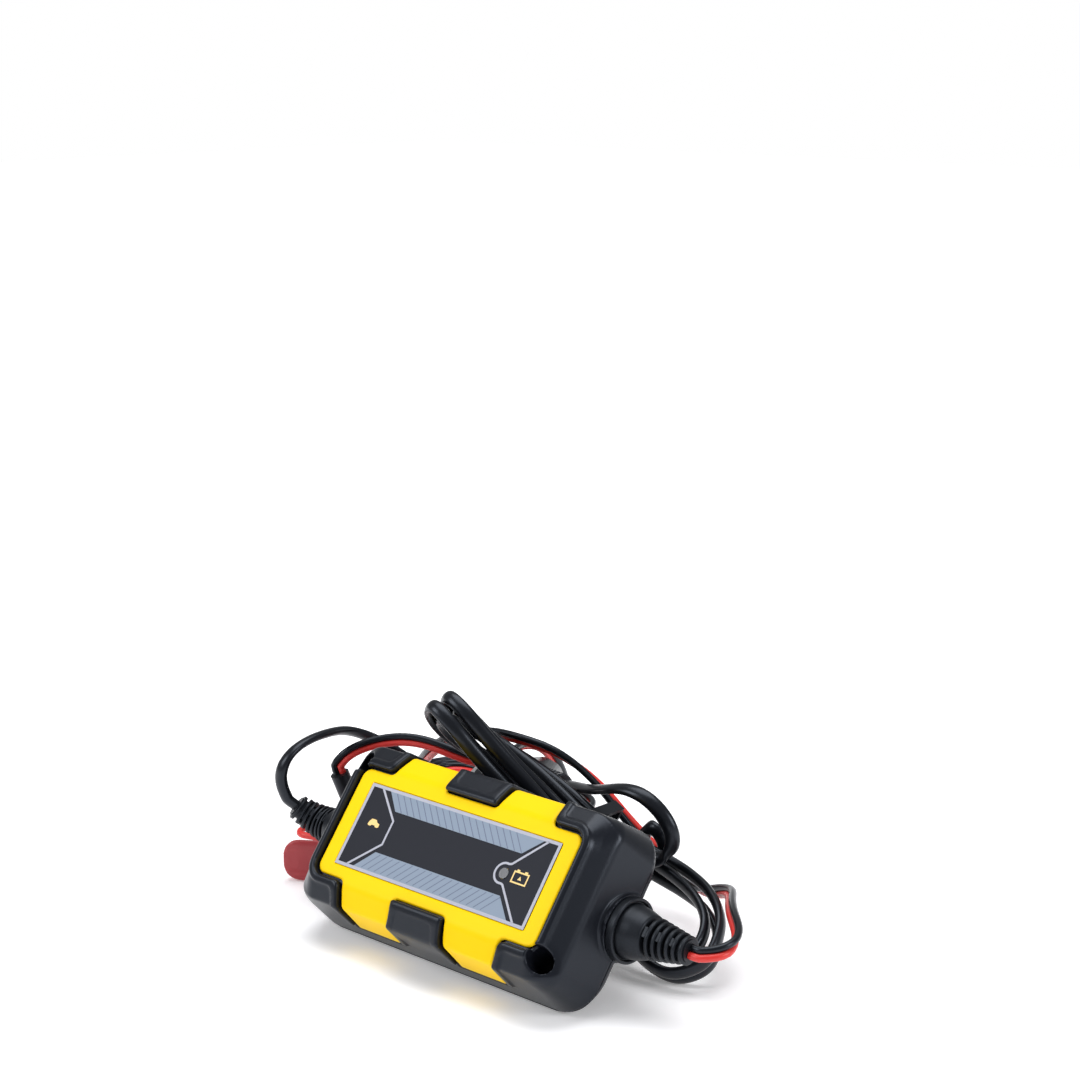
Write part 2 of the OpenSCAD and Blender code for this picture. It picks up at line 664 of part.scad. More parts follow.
// ---- ends of the strain reliefs, in the leaned frame
function seat(p) = [p[0], case_y + p[1] * cos(lean) - p[2] * sin(lean),
    case_z + p[1] * sin(lean) + p[2] * cos(lean)];
bent_len = bent_n * rib_pitch + rib_lap;
bent_side = arc_at(bent_len)[0];
bent_tip = seat([-half_l - ribs_from - arc_at(bent_len)[2], bent_side * sin(bend_roll),
    -front_depth + bent_side * cos(bend_roll)]);
straight_tip = seat([half_l + ribs_from - touch + rib_n * rib_pitch + rib_lap, 0, -front_depth]);
tip_ang = arc_turn(bent_len);
bent_dir = seat([-cos(tip_ang), sin(tip_ang) * sin(bend_roll), sin(tip_ang) * cos(bend_roll)])
    - seat([0, 0, 0]);
echo(bent_tip = bent_tip, bent_dir = bent_dir, straight_tip = straight_tip);
echo(hank_start = mains_turns[0], first_way(mains_turns), hank_end = last_spot(mains_turns));
echo(output_start = output_turns[0][0], first_way(output_turns), output_end = last_spot(output_turns),
    last_way(output_turns));

// ---- routes, chosen by hand
mains_start_route = [[-90, -3.5, 38], [-90, -4.5, 44], [-89, -1, 50], [-89, 8, 53], [-90, 19, 53],
    [-92, 30, 51], [-89, 42, 45], [-77, 51, 35], [-62, 54, 28], [-44, 56, 25], [-26, 60, 22.5],
    [-8, 64, 19], [5, 66, 18], [15, 65, 22], [21, 62, 29], [24, 60, 35], [28, 57.5, 37], [32, 60, 32],
    [31, 62, 25], [28, 60, 19], [23, 52, 15.5], [17, 46, 18.5]];
mains_end_route = [[20, 46.5, 31.5], [27, 46, 30], [34, 46.5, 28.5], [40, 48.5, 30], [44, 50, 35], [44, 49, 41],
    [40, 48, 47], [33, 47, 51.5], [25, 47, 52], [17, 48.5, 49.5], [9, 51.5, 46.5], [0, 56, 43.5]];
output_start_route = [[93.5, 7, 27.5], [97, 11, 29.5], [97, 17, 30.5], [92, 24, 30], [86, 31, 29],
    [79, 39, 27.5], [72, 47, 26], [64, 54, 24], [55, 60, 20], [44, 66, 15], [32, 72, 13.5], [22, 73.5, 18],
    [14, 70, 26], [7.5, 67, 33], [1.5, 65, 38.5], [-4.5, 62, 44], [-10.2, 58.5, 49.2], [-17, 54.5, 54.5],
    [-26, 52, 56.5], [-37, 52, 56.5], [-49, 52, 54], [-62, 53, 49], [-76, 57, 40],
    [-94, 68, 27], [-114, 82, 12], [-130, 93, 3.5], [-140, 104, 2.6], [-143, 114, 2.6]];
output_end_route = [[-88, 127, 3], [-78, 126, 6.5], [-69, 121.5, 11], [-62.5, 115, 17], [-60, 109.5, 24],
    [-59, 104.5, 30.5], [-57, 98, 35.7], [-54.5, 89, 39.7], [-52, 80, 42], [-48.5, 71, 43], [-45, 62, 43], [-44, 54, 43], [-52, 49, 45], [-61, 45.5, 48],
    [-70, 42, 49.5], [-79, 37.5, 48.5], [-85, 31, 46.5], [-88, 26.5, 44.5], [-91.5, 24.5, 41]];

module mains_lead_start() {
    path = concat([bent_tip, bent_tip + 4 * bent_dir], mains_start_route,
        [mains_turns[0][0] - 8 * first_way(mains_turns), mains_turns[0][0]]);
    color(cord_black) swept(path, turning([0.3, 1, 0], mains_turns[0][1], len(path)),
        mains_w / 2, mains_t / 2, 8, bent_dir, first_way(mains_turns));
}

module mains_lead_end() {
    from = last_spot(mains_turns);
    path = concat([from, from + 7 * last_way(mains_turns)], mains_end_route,
        [plug_exit - 7 * plug_dir, plug_exit - 0.04 * plug_dir]);
    color(cord_black) swept(path, turning(mains_turns[len(mains_turns) - 1][1], [0.4, 0.9, 0], len(path)),
        mains_w / 2, mains_t / 2, 8, last_way(mains_turns), plug_dir);
}

module output_lead_start() {
    path = concat([straight_tip, straight_tip + [3.5, 0, 0]], output_start_route, [output_turns[0][0]]);
    color([0.6, 0.1, 0.1]) swept(path, turning([0, 0.6, 1], output_turns[0][1], len(path)),
        twin_w / 2, core_d / 2, 8, [1, 0, 0], first_way(output_turns));
}

module output_lead_end() {
    from = last_spot(output_turns);
    path = concat([from, from + 6 * last_way(output_turns)], output_end_route, [sleeve_from]);
    color([0.6, 0.1, 0.1]) swept(path, turning(output_turns[0][1], [0.6, -0.8, 0], len(path)),
        twin_w / 2, core_d / 2, 8, last_way(output_turns), sleeve_dir);
}

// ---- plug: flat two-pin body behind the hank, its far end on the black clamp
plug_exit = [-17, 64, 39];
plug_dir = unit([-0.87, 0.41, -0.26]);
plug_wide = unit([plug_dir[1], -plug_dir[0], 0]);
plug_relief = 20;
plug_len = 34;
pin_len = 19;
pin_gap = 18.6;
plug_frame_y = cross(plug_dir, plug_wide);

module at_plug() {
    multmatrix([[plug_wide[0], plug_frame_y[0], plug_dir[0], plug_exit[0]],
        [plug_wide[1], plug_frame_y[1], plug_dir[1], plug_exit[1]],
        [plug_wide[2], plug_frame_y[2], plug_dir[2], plug_exit[2]]]) children();
}

module plug_oval(z, half_x, half_y) {
    translate([0, 0, z]) linear_extrude(0.4) hull() for (s = [-1, 1])
        translate([s * (half_x - half_y), 0]) circle(r = half_y, $fn = hull_smooth);
}

module plug_body() {
    color(cord_black) at_plug() union() {
        hull() {
            plug_oval(plug_relief, 5.5, 5);
            plug_oval(plug_relief + 12, 13, 6.6);
        }
        hull() {
            plug_oval(plug_relief + 12, 13, 6.6);
            plug_oval(plug_relief + plug_len - 6, 17.2, 6.8);
            plug_oval(plug_relief + plug_len - 0.4, 16.6, 6.4);
        }
        cylinder(r = 3.3, h = plug_relief + 1, $fn = smooth);
        for (i = [0 : 4]) translate([0, 0, 2 + i * 3.4])
            cylinder(r = 3.9 + 0.3 * i, h = 2, $fn = smooth);
    }
}

module plug_pins() {
    color(steel) at_plug() for (s = [-1, 1])
        translate([s * pin_gap / 2, 0, plug_relief + plug_len]) rotate_extrude($fn = smooth)
            polygon([[0, 0], [2, 0], [2, pin_len - 1.5], [1, pin_len], [0, pin_len]]);
}

// ---- where the twin lead parts into its two cores
sleeve_from = [-91, 25, 36];
sleeve_dir = unit([1, 2, -6]);
sleeve_len = 9;
module lead_sleeve() {
    color([0.08, 0.08, 0.09]) translate(sleeve_from) rotate([0, acos(sleeve_dir[2]), atan2(sleeve_dir[1], sleeve_dir[0])])
        cylinder(r = 3.4, h = sleeve_len, $fn = smooth);
}

// ---- single cores, from the sleeve to the clamps
red_at = [-65, 32.6, 0];
red_turn = 25;
black_at = [-45, 84, 0];
black_turn = 0;
core_in = [-handle_len, -10.4, clamp_w / 2];
core_stop = [4.9, -5.5, clamp_w / 2];
red_core_route = [[-93, 29, 21], [-100, 33, 17.3], [-108, 34.5, 12], [-114.5, 31, 8.5], [-115, 26, 8]];
black_core_route = [[-90, 33, 21], [-92, 42, 14], [-96, 55, 9], [-98, 66, 7.5]];

function turned(p, a) = [p[0] * cos(a) - p[1] * sin(a), p[0] * sin(a) + p[1] * cos(a), p[2]];

module core_tube(route, side, at, turn, flip) {
    start = sleeve_from + (sleeve_len + 0.02) * sleeve_dir + side * across(sleeve_dir, [1, 0, 0]);
    inside = [core_in - [4, 0, 0], core_in, [-24, -8.3, clamp_w / 2], [-6, -5.75, clamp_w / 2],
        core_stop - [3, 0, 0], core_stop];
    path = concat([start, start + 2 * sleeve_dir], route,
        [for (p = inside) at + turned([p[0], flip * p[1], p[2]], turn)]);
    swept(path, turning([0, 1, 0.2], turned([0, 1, 0], turn), len(path)), core_d / 2, core_d / 2, 8,
        sleeve_dir, turned([1, 0, 0], turn));
}

module red_core() {
    color([0.75, 0.12, 0.1]) core_tube(red_core_route, -1.4, red_at, red_turn, -1);
}

module black_core() {
    color(cord_black) core_tube(black_core_route, 1.4, black_at, black_turn, 1);
}

// ---- clamp, lying on its side: pivot along z, handles to -x, jaws to +x, one half below y = 0
skin_t = 2;
ear_r = 4.5;
ear_t = 1.8;
nest = 2;            // how far the inner pair of ears lies inside the outer pair
grip_out = [[-handle_len, -14.2], [-handle_len + 6, -13.8], [-24, -12], [-6, -9.5], [10, -8.6]];
grip_in = [[10, -8.6 + skin_t], [-6, -9.5 + skin_t], [-24, -12 + skin_t], [-handle_len + 6, -13.8 + skin_t],
    [-handle_len, -14.2 + skin_t]];
flange_in = [[10, -4], [ear_r, -1], [0, -1], [-6, -2.6], [-24, -7.2], [-handle_len, -10.4]];

module grip(ear_z) {
    linear_extrude(clamp_w) polygon(concat(grip_out, grip_in));
    for (z = [ear_z, clamp_w - ear_z - ear_t]) translate([0, 0, z]) linear_extrude(ear_t) {
        polygon(concat(grip_out, flange_in));
        circle(r = ear_r, $fn = smooth);
    }
}

module grip_with_bore(ear_z, bore_r) {
    difference() {
        grip(ear_z);
        translate([0, 0, -1]) cylinder(r = bore_r, h = clamp_w + 2, $fn = smooth);
    }
}

tooth = 1.2;
tooth_n = 6;
jaw_root = [5, -8.6 + skin_t + 0.1];
mouth_x = [9, jaw_len - tooth_n * 2 * tooth];
jaw_sides = [4.2, clamp_w - 4.2];
jaw_t = 1.2;
module jaw(shift) {
    teeth = [for (i = [0 : tooth_n - 1], k = [0, 1])
        [jaw_len - shift - (i * 2 + k) * tooth, k == 0 ? -0.2 : -0.2 - tooth]];
    edge = [[mouth_x[1] - 1, -2.2], [(mouth_x[0] + mouth_x[1]) / 2, -3.8], [mouth_x[0], -3.6],
        [jaw_root[0], -4.2]];
    outer = [jaw_root, [12, jaw_root[1] - 0.1], [20, -6.4], [28, -4.6], [jaw_len - 0.5, -2.4]];
    difference() {
        translate([0, 0, jaw_sides[0]]) linear_extrude(jaw_sides[1] - jaw_sides[0])
            polygon(concat(outer, teeth, edge));
        translate([0, 0, jaw_sides[0] + jaw_t]) linear_extrude(jaw_sides[1] - jaw_sides[0] - 2 * jaw_t)
            polygon([[jaw_root[0] - 1, jaw_root[1] + jaw_t], [12, jaw_root[1] + jaw_t - 0.1],
                [20, -6.4 + jaw_t], [28, -4.6 + jaw_t], [jaw_len + 1, 3], [jaw_root[0] - 1, 3]]);
    }
}

module crimp() {
    translate([core_stop[0] + 0.02, jaw_root[1] + 0.3, clamp_w / 2 - 1.6]) cube([5, 2.6, 3.2]);
}

module at_clamp(at, turn, flip) {
    translate(at) rotate([0, 0, turn]) scale([1, flip, 1]) children();
}

module fixed_grip(at, turn, flip, tint) {
    color(tint) at_clamp(at, turn, flip) grip_with_bore(0, pin_r + 0.02);
}

module fixed_jaw(at, turn, flip) {
    color(steel) at_clamp(at, turn, flip) union() {
        jaw(0);
        crimp();
    }
}

module moving_grip(at, turn, flip, tint) {
    color(tint) at_clamp(at, turn, -flip) grip_with_bore(nest, pin_r + gap);
}

module moving_jaw(at, turn, flip) {
    color(steel) at_clamp(at, turn, -flip) jaw(tooth);
}

module pivot_pin(at) {
    color(steel) translate(at) union() {
        translate([0, 0, 0.2]) cylinder(r = pin_r, h = clamp_w, $fn = smooth);
        translate([0, 0, clamp_w + 0.02]) cylinder(r = pin_r + 1.3, h = 0.8, $fn = smooth);
    }
}

// torsion spring: close turns round the pin between the inner ears, one arm along each half
wire_r = 0.55;
spring_r = pin_r + 1.5;
spring_turns = 5;
turn_rings = 12;
spring_z = [nest + ear_t + 1.2, clamp_w - nest - ear_t - 1.2];
spring_path = concat([[-17, -8.6, spring_z[0]], [-10, -7.2, spring_z[0]]],
    [for (i = [2 : spring_turns * turn_rings]) let (a = 250 - i * 360 / turn_rings)
        [spring_r * cos(a), spring_r * sin(a),
            spring_z[0] + (spring_z[1] - spring_z[0]) * i / (spring_turns * turn_rings)]],
    [[-8, 0.4, spring_z[1]], [-15, -0.6, spring_z[1]]]);

module pivot_spring(at, turn, flip) {
    color(steel) at_clamp(at, turn, flip)
        swept(spring_path, turning([0, 0, 1], [0, 0, 1], len(spring_path)), wire_r, wire_r, 6);
}

red_plastic = [0.75, 0.15, 0.12];
black_plastic = [0.12, 0.12, 0.13];
module red_fixed_grip() { fixed_grip(red_at, red_turn, -1, red_plastic); }
module red_fixed_jaw() { fixed_jaw(red_at, red_turn, -1); }
module red_moving_grip() { moving_grip(red_at, red_turn, -1, red_plastic); }
module red_moving_jaw() { moving_jaw(red_at, red_turn, -1); }
module red_pin() { pivot_pin(red_at); }
module red_spring() { pivot_spring(red_at, red_turn, -1); }
module black_fixed_grip() { fixed_grip(black_at, black_turn, 1, black_plastic); }
module black_fixed_jaw() { fixed_jaw(black_at, black_turn, 1); }
module black_moving_grip() { moving_grip(black_at, black_turn, 1, black_plastic); }
module black_moving_jaw() { moving_jaw(black_at, black_turn, 1); }
module black_pin() { pivot_pin(black_at); }
module black_spring() { pivot_spring(black_at, black_turn, 1); }

front_shell();
rear_shell();
face_plate();
label_panel();
light_window();
case_seal();
case_screws();
mains_strain_relief();
output_strain_relief();
circuit_board();
board_screws();
transformer_core();
transformer_bobbin();
transformer_winding();
noise_choke();
mains_fuse();
bridge_rectifier();
mains_capacitor();
film_capacitor();
output_capacitors();
switch_transistor();
heat_sink();
output_diode();
control_chip();
optocoupler();
charge_light();
small_resistors();
mains_solder_tails();
output_solder_tails();
mains_lead_start();
mains_hank();
mains_lead_end();
hank_tie();
plug_body();
plug_pins();
output_lead_start();
output_hank();
output_lead_end();
lead_sleeve();
red_core();
black_core();
red_fixed_grip();
red_fixed_jaw();
red_moving_grip();
red_moving_jaw();
red_pin();
red_spring();
black_fixed_grip();
black_fixed_jaw();
black_moving_grip();
black_moving_jaw();
black_pin();
black_spring();
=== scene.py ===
# %% [markdown]
# # A small car battery charger, from its CAD frame to a lit picture
# The charger's CAD model gives every size and every joint. This lesson dresses it: first come the camera
# and the finishes, then the leads, the casing, the label, the strain reliefs and the clamps, and last the
# light. Pieces that nobody sees keep their CAD shape and only get a finish. Distances are in millimetres
# until a mesh is made, where MM turns them into metres, because sizes of small plastic parts are easiest to
# read that way.

import json
import math

import bpy
import numpy as np
from mathutils import Matrix, Vector
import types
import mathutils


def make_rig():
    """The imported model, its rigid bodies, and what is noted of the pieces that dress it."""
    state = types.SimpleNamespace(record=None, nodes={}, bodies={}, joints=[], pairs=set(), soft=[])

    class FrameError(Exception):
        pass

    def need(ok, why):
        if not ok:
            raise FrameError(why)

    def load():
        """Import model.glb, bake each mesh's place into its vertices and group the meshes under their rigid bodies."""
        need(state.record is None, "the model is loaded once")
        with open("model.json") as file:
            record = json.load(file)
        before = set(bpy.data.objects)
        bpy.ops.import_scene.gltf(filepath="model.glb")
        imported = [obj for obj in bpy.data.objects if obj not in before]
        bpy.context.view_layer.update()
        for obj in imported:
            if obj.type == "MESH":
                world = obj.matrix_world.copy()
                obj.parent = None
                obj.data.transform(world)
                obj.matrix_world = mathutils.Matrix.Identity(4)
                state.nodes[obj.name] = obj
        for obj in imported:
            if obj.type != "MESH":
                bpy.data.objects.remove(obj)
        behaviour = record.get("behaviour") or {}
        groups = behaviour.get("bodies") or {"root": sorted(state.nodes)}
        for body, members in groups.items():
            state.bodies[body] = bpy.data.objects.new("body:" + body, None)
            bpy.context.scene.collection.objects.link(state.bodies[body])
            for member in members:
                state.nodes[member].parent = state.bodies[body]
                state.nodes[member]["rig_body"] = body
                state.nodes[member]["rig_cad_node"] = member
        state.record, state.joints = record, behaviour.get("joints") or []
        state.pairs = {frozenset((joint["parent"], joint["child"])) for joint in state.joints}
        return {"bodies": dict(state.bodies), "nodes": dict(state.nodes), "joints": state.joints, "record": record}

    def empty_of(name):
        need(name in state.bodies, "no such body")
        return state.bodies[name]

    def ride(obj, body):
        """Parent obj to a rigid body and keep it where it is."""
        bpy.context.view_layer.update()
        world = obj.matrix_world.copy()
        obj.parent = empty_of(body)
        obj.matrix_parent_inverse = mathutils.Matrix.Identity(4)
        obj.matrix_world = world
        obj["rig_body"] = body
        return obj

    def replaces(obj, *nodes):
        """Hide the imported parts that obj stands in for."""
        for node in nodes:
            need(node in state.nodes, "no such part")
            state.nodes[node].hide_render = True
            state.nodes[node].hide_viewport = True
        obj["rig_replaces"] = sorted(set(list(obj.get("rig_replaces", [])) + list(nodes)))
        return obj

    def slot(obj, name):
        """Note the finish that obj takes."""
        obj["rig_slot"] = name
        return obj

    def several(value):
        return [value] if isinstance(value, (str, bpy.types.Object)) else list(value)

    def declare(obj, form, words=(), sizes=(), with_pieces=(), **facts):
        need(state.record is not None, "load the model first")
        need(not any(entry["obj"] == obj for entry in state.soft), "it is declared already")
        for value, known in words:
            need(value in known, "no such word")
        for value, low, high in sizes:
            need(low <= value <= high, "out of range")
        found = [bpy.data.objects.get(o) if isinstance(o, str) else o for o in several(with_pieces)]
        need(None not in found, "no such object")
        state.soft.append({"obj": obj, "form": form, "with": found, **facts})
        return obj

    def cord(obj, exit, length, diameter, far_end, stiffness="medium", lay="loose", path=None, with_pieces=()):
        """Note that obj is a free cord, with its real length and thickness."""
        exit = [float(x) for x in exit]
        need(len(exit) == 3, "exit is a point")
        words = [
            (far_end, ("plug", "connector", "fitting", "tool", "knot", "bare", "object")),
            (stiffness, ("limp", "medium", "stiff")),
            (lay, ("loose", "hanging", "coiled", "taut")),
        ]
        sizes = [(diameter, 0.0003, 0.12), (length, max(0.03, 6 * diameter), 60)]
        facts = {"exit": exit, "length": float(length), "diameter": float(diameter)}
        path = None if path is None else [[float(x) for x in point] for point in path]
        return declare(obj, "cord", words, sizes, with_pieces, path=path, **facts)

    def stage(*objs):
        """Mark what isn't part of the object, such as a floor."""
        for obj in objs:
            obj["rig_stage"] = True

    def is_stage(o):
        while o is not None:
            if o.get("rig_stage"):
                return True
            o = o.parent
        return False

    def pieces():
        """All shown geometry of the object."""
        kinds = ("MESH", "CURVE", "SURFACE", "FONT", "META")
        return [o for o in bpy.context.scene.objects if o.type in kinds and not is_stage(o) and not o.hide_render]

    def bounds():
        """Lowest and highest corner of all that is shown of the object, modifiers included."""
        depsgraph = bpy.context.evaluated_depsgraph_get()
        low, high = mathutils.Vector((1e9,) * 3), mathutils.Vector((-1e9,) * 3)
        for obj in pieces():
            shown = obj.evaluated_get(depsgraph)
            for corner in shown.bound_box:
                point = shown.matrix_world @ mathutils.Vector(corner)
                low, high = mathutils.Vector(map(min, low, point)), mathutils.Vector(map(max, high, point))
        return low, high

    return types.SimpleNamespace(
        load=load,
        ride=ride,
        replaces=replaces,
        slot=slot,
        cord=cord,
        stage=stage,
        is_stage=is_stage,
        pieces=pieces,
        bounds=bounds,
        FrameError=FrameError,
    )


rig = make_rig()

MM = 0.001
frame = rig.load()
first_bounds = [list(v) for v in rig.bounds()]
print("frame:", len(frame["nodes"]), "nodes and", len(frame["joints"]), "joints")

# %% [markdown]
# ## Camera
# A small product looks truest through a long lens from well back, which keeps its sides nearly parallel.
# The camera could be aimed with a Track To constraint. Two angles are used here instead, a turn to the
# right and a rise, and the camera's own axes are built from them, so that the horizon stays level.

# %% Camera
TURN, RISE = math.radians(42.181), math.radians(12.962)
EYE = (0.47055, -0.48676, 0.29668)
LENS, SENSOR = 73.30, 36
away = Vector((math.sin(TURN) * math.cos(RISE), -math.cos(TURN) * math.cos(RISE), math.sin(RISE)))
right = Vector((math.cos(TURN), math.sin(TURN), 0))
camera = bpy.data.objects.new("camera", bpy.data.cameras.new("camera"))
bpy.context.scene.collection.objects.link(camera)
axes = Matrix((right, away.cross(right), away)).transposed().to_4x4()
camera.matrix_world = Matrix.Translation(EYE) @ axes
camera.data.sensor_width = SENSOR
camera.data.lens = LENS
camera.data.clip_start = 0.01
camera.data.dof.use_dof = False
bpy.context.scene.camera = camera
print("camera at", EYE, "with a lens of", LENS, "mm")

# %% [markdown]
# ## Finishes
# The casing, the leads and the label are coloured plastic, whose look is mostly colour, roughness and how
# strongly they mirror the room. An image could give more, but a Principled shader with three or four values
# is enough here. The casing's spark-eroded grain is a fine noise in object coordinates, through a Bump
# node. Colours are chosen as display colours, so a small function turns them into what a shader
# takes.

# %% A finish


def linear(r, g, b):
    """Display colour, 0 to 255, as the linear colour that a shader takes."""
    parts = [c / 255 / 12.92 if c <= 10 else ((c / 255 + 0.055) / 1.055) ** 2.4 for c in (r, g, b)]
    return (*parts, 1)


def finish(name, colour, rough, metal=0.0, grain=0.0, scale=2500.0, shine=0.5, tint=(1, 1, 1)):
    m = bpy.data.materials.new(name)
    m.use_nodes = True
    shader = m.node_tree.nodes["Principled BSDF"]
    shader.inputs["Base Color"].default_value = linear(*colour)
    shader.inputs["Roughness"].default_value = rough
    shader.inputs["Metallic"].default_value = metal
    shader.inputs["Specular IOR Level"].default_value = shine
    shader.inputs["Specular Tint"].default_value = (*tint, 1)
    if grain:
        nodes, link = m.node_tree.nodes, m.node_tree.links.new
        place, noise, bump = (nodes.new("ShaderNode" + k) for k in ("TexCoord", "TexNoise", "Bump"))
        noise.inputs["Scale"].default_value = scale
        noise.inputs["Detail"].default_value = 2.0
        bump.inputs["Strength"].default_value = grain
        bump.inputs["Distance"].default_value = 0.0002
        link(place.outputs["Object"], noise.inputs["Vector"])
        link(noise.outputs["Fac"], bump.inputs["Height"])
        link(bump.outputs["Normal"], shader.inputs["Normal"])
    return m


print("white as a shader colour:", linear(255, 255, 255))

# %% [markdown]
# Black plastic under a bright sky turns grey. Its mirroring is therefore turned down, and tinted a cool
# blue. The metal pins, jaws and springs are the opposite: all of their colour is in what they mirror.

# %% The finishes of this charger
COOL = (0.78, 0.86, 1)
FINISH = {
    "case_plastic": finish("case_plastic", (15, 17, 23), 0.3, grain=0.08, scale=3500, shine=0.32, tint=COOL),
    "yellow_plastic": finish("yellow_plastic", (250, 206, 0), 0.38, shine=0.1),
    "label_film": finish("label_film", (30, 30, 36), 0.5, shine=0.2, tint=COOL),
    "label_silver": finish("label_silver", (172, 174, 186), 0.45, shine=0.3),
    "label_band": finish("label_band", (130, 144, 162), 0.45, shine=0.3),
    "label_stroke": finish("label_stroke", (100, 110, 132), 0.5, shine=0.3),
    "label_cream": finish("label_cream", (240, 205, 130), 0.45),
    "clear_window": finish("clear_window", (66, 68, 74), 0.2),
    "seal_rubber": finish("seal_rubber", (70, 72, 75), 0.7),
    "screw_steel": finish("screw_steel", (190, 192, 196), 0.35, metal=1),
    "lead_rubber": finish("lead_rubber", (16, 18, 22), 0.42, grain=0.08, shine=0.32, tint=COOL),
    "board_green": finish("board_green", (28, 96, 58), 0.45),
    "ferrite": finish("ferrite", (70, 70, 74), 0.7),
    "bobbin_plastic": finish("bobbin_plastic", (222, 214, 190), 0.6),
    "winding_tape": finish("winding_tape", (236, 186, 50), 0.35),
    "copper_winding": finish("copper_winding", (176, 92, 44), 0.3, metal=0.7),
    "ceramic": finish("ceramic", (206, 196, 176), 0.5),
    "black_epoxy": finish("black_epoxy", (36, 36, 38), 0.55),
    "blue_sleeve": finish("blue_sleeve", (34, 62, 140), 0.3),
    "yellow_box": finish("yellow_box", (226, 186, 40), 0.4),
    "green_sleeve": finish("green_sleeve", (36, 84, 66), 0.3),
    "sink_aluminium": finish("sink_aluminium", (198, 200, 204), 0.4, metal=1),
    "white_epoxy": finish("white_epoxy", (224, 224, 220), 0.5),
    "lamp": finish("lamp", (214, 222, 216), 0.3),
    "blue_core": finish("blue_core", (66, 100, 172), 0.45),
    "red_core_vinyl": finish("red_core_vinyl", (206, 44, 38), 0.4, grain=0.05),
    "lead_vinyl": finish("lead_vinyl", (12, 13, 17), 0.3, grain=0.05, shine=0.36, tint=COOL),
    "tie_vinyl": finish("tie_vinyl", (14, 15, 18), 0.4, shine=0.35, tint=COOL),
    "twin_vinyl": finish("twin_vinyl", (206, 44, 38), 0.36, grain=0.05),
    "pin_brass": finish("pin_brass", (214, 214, 212), 0.2, metal=1),
    "red_grip_plastic": finish("red_grip_plastic", (160, 44, 50), 0.42, grain=0.08),
    "black_grip_plastic": finish("black_grip_plastic", (26, 27, 30), 0.4, grain=0.08),
    "jaw_steel": finish("jaw_steel", (196, 197, 200), 0.3, metal=1),
    "spring_steel": finish("spring_steel", (176, 178, 182), 0.3, metal=1),
}
SLOT = {p["node"]: p["material_slot"] for p in frame["record"]["subparts"]}
for node_name, o in frame["nodes"].items():
    o.data.materials.clear()
    o.data.materials.append(FINISH[SLOT[node_name]])
print("finishes:", len(FINISH))

# %% [markdown]
# ## Meshes from points
# Every visible piece ends as one plain mesh that rides on its CAD body, so that a clamp still opens. A mesh
# could be drawn by hand in Edit Mode, but a list of points keeps each size in sight. A smooth piece with a
# few crisp edges needs both kinds of shading, so edges steeper than SHARP are marked.

# %% A piece on its body
SHARP = math.radians(42)


def shaded(mesh):
    """Smooth shading with crisp edges."""
    mesh.shade_smooth()
    mesh.set_sharp_from_angle(angle=SHARP)


def piece(name, points, faces, material, body="charger", stands_for=(), slot=None, edges=()):
    mesh = bpy.data.meshes.new(name)
    mesh.from_pydata((np.asarray(points, float) * MM).tolist(), edges, [list(map(int, f)) for f in faces])
    mesh.materials.append(material)
    shaded(mesh)
    o = bpy.data.objects.new(name, mesh)
    bpy.context.scene.collection.objects.link(o)
    return settle(o, body, stands_for, slot) if body else o


def settle(o, body, stands_for=(), slot=None):
    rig.ride(o, body)
    if stands_for:
        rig.replaces(o, *stands_for)
    if slot:
        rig.slot(o, slot)
    return o


print("edges steeper than", round(math.degrees(SHARP)), "degrees stay crisp")

# %% [markdown]
# Ribs, hatching and leads repeat a shape or follow a path, which Geometry Nodes do well. A tree has named
# inputs, like a tool with labelled knobs. It runs once, its result is kept as a mesh and the modifier goes.
# A tree that works in millimetres is followed by moved(), which carries the finished points to their place.

# %% Trees and what they make


def frozen(o):
    """The object with its modifiers worked into its mesh."""
    shown = o.evaluated_get(bpy.context.evaluated_depsgraph_get())
    mesh = bpy.data.meshes.new_from_object(shown)
    o.modifiers.clear()
    o.data = mesh
    return o


def tree_with(name, sockets):
    """An empty Geometry Nodes tree with named inputs; makes nodes with add() and joins them with link()."""
    tree = bpy.data.node_groups.new(name, "GeometryNodeTree")
    tree.interface.new_socket("Geometry", in_out="INPUT", socket_type="NodeSocketGeometry")
    for label, kind in sockets:
        tree.interface.new_socket(label, in_out="INPUT", socket_type="NodeSocket" + kind)
    tree.interface.new_socket("Geometry", in_out="OUTPUT", socket_type="NodeSocketGeometry")
    return tree, tree.nodes.new, tree.links.new


def grow(o, tree, values):
    """Runs a tree on an object with its named inputs set by identifier, and keeps the result as its mesh."""
    modifier = o.modifiers.new(tree.name, "NODES")
    modifier.node_group = tree
    for item in tree.interface.items_tree:
        if item.in_out == "INPUT" and item.name in values:
            modifier[item.identifier] = values[item.name]
    return frozen(o)


def moved(o, place):
    """Takes each point of a mesh made in millimetres to where place puts it."""
    points = np.empty(len(o.data.vertices) * 3)
    o.data.vertices.foreach_get("co", points)
    o.data.vertices.foreach_set("co", (place(points.reshape(-1, 3)) * MM).ravel())
    shaded(o.data)
    o.data.update()
    return o


def worked(add, link, kind, *given):
    """The output of a Math node that works on sockets or numbers."""
    node = add("ShaderNodeMath")
    node.operation = kind
    for i, x in enumerate(given):
        if isinstance(x, (int, float)):
            node.inputs[i].default_value = x
        else:
            link(x, node.inputs[i])
    return node.outputs[0]


def vector(add, link, x=0.0, y=0.0, z=0.0):
    """The output of a Combine XYZ node, from sockets or numbers."""
    node = add("ShaderNodeCombineXYZ")
    for i, k in enumerate((x, y, z)):
        if isinstance(k, (int, float)):
            node.inputs[i].default_value = k
        else:
            link(k, node.inputs[i])
    return node.outputs[0]


print("tree helpers:", [f.__name__ for f in (tree_with, grow, moved, worked, vector)])

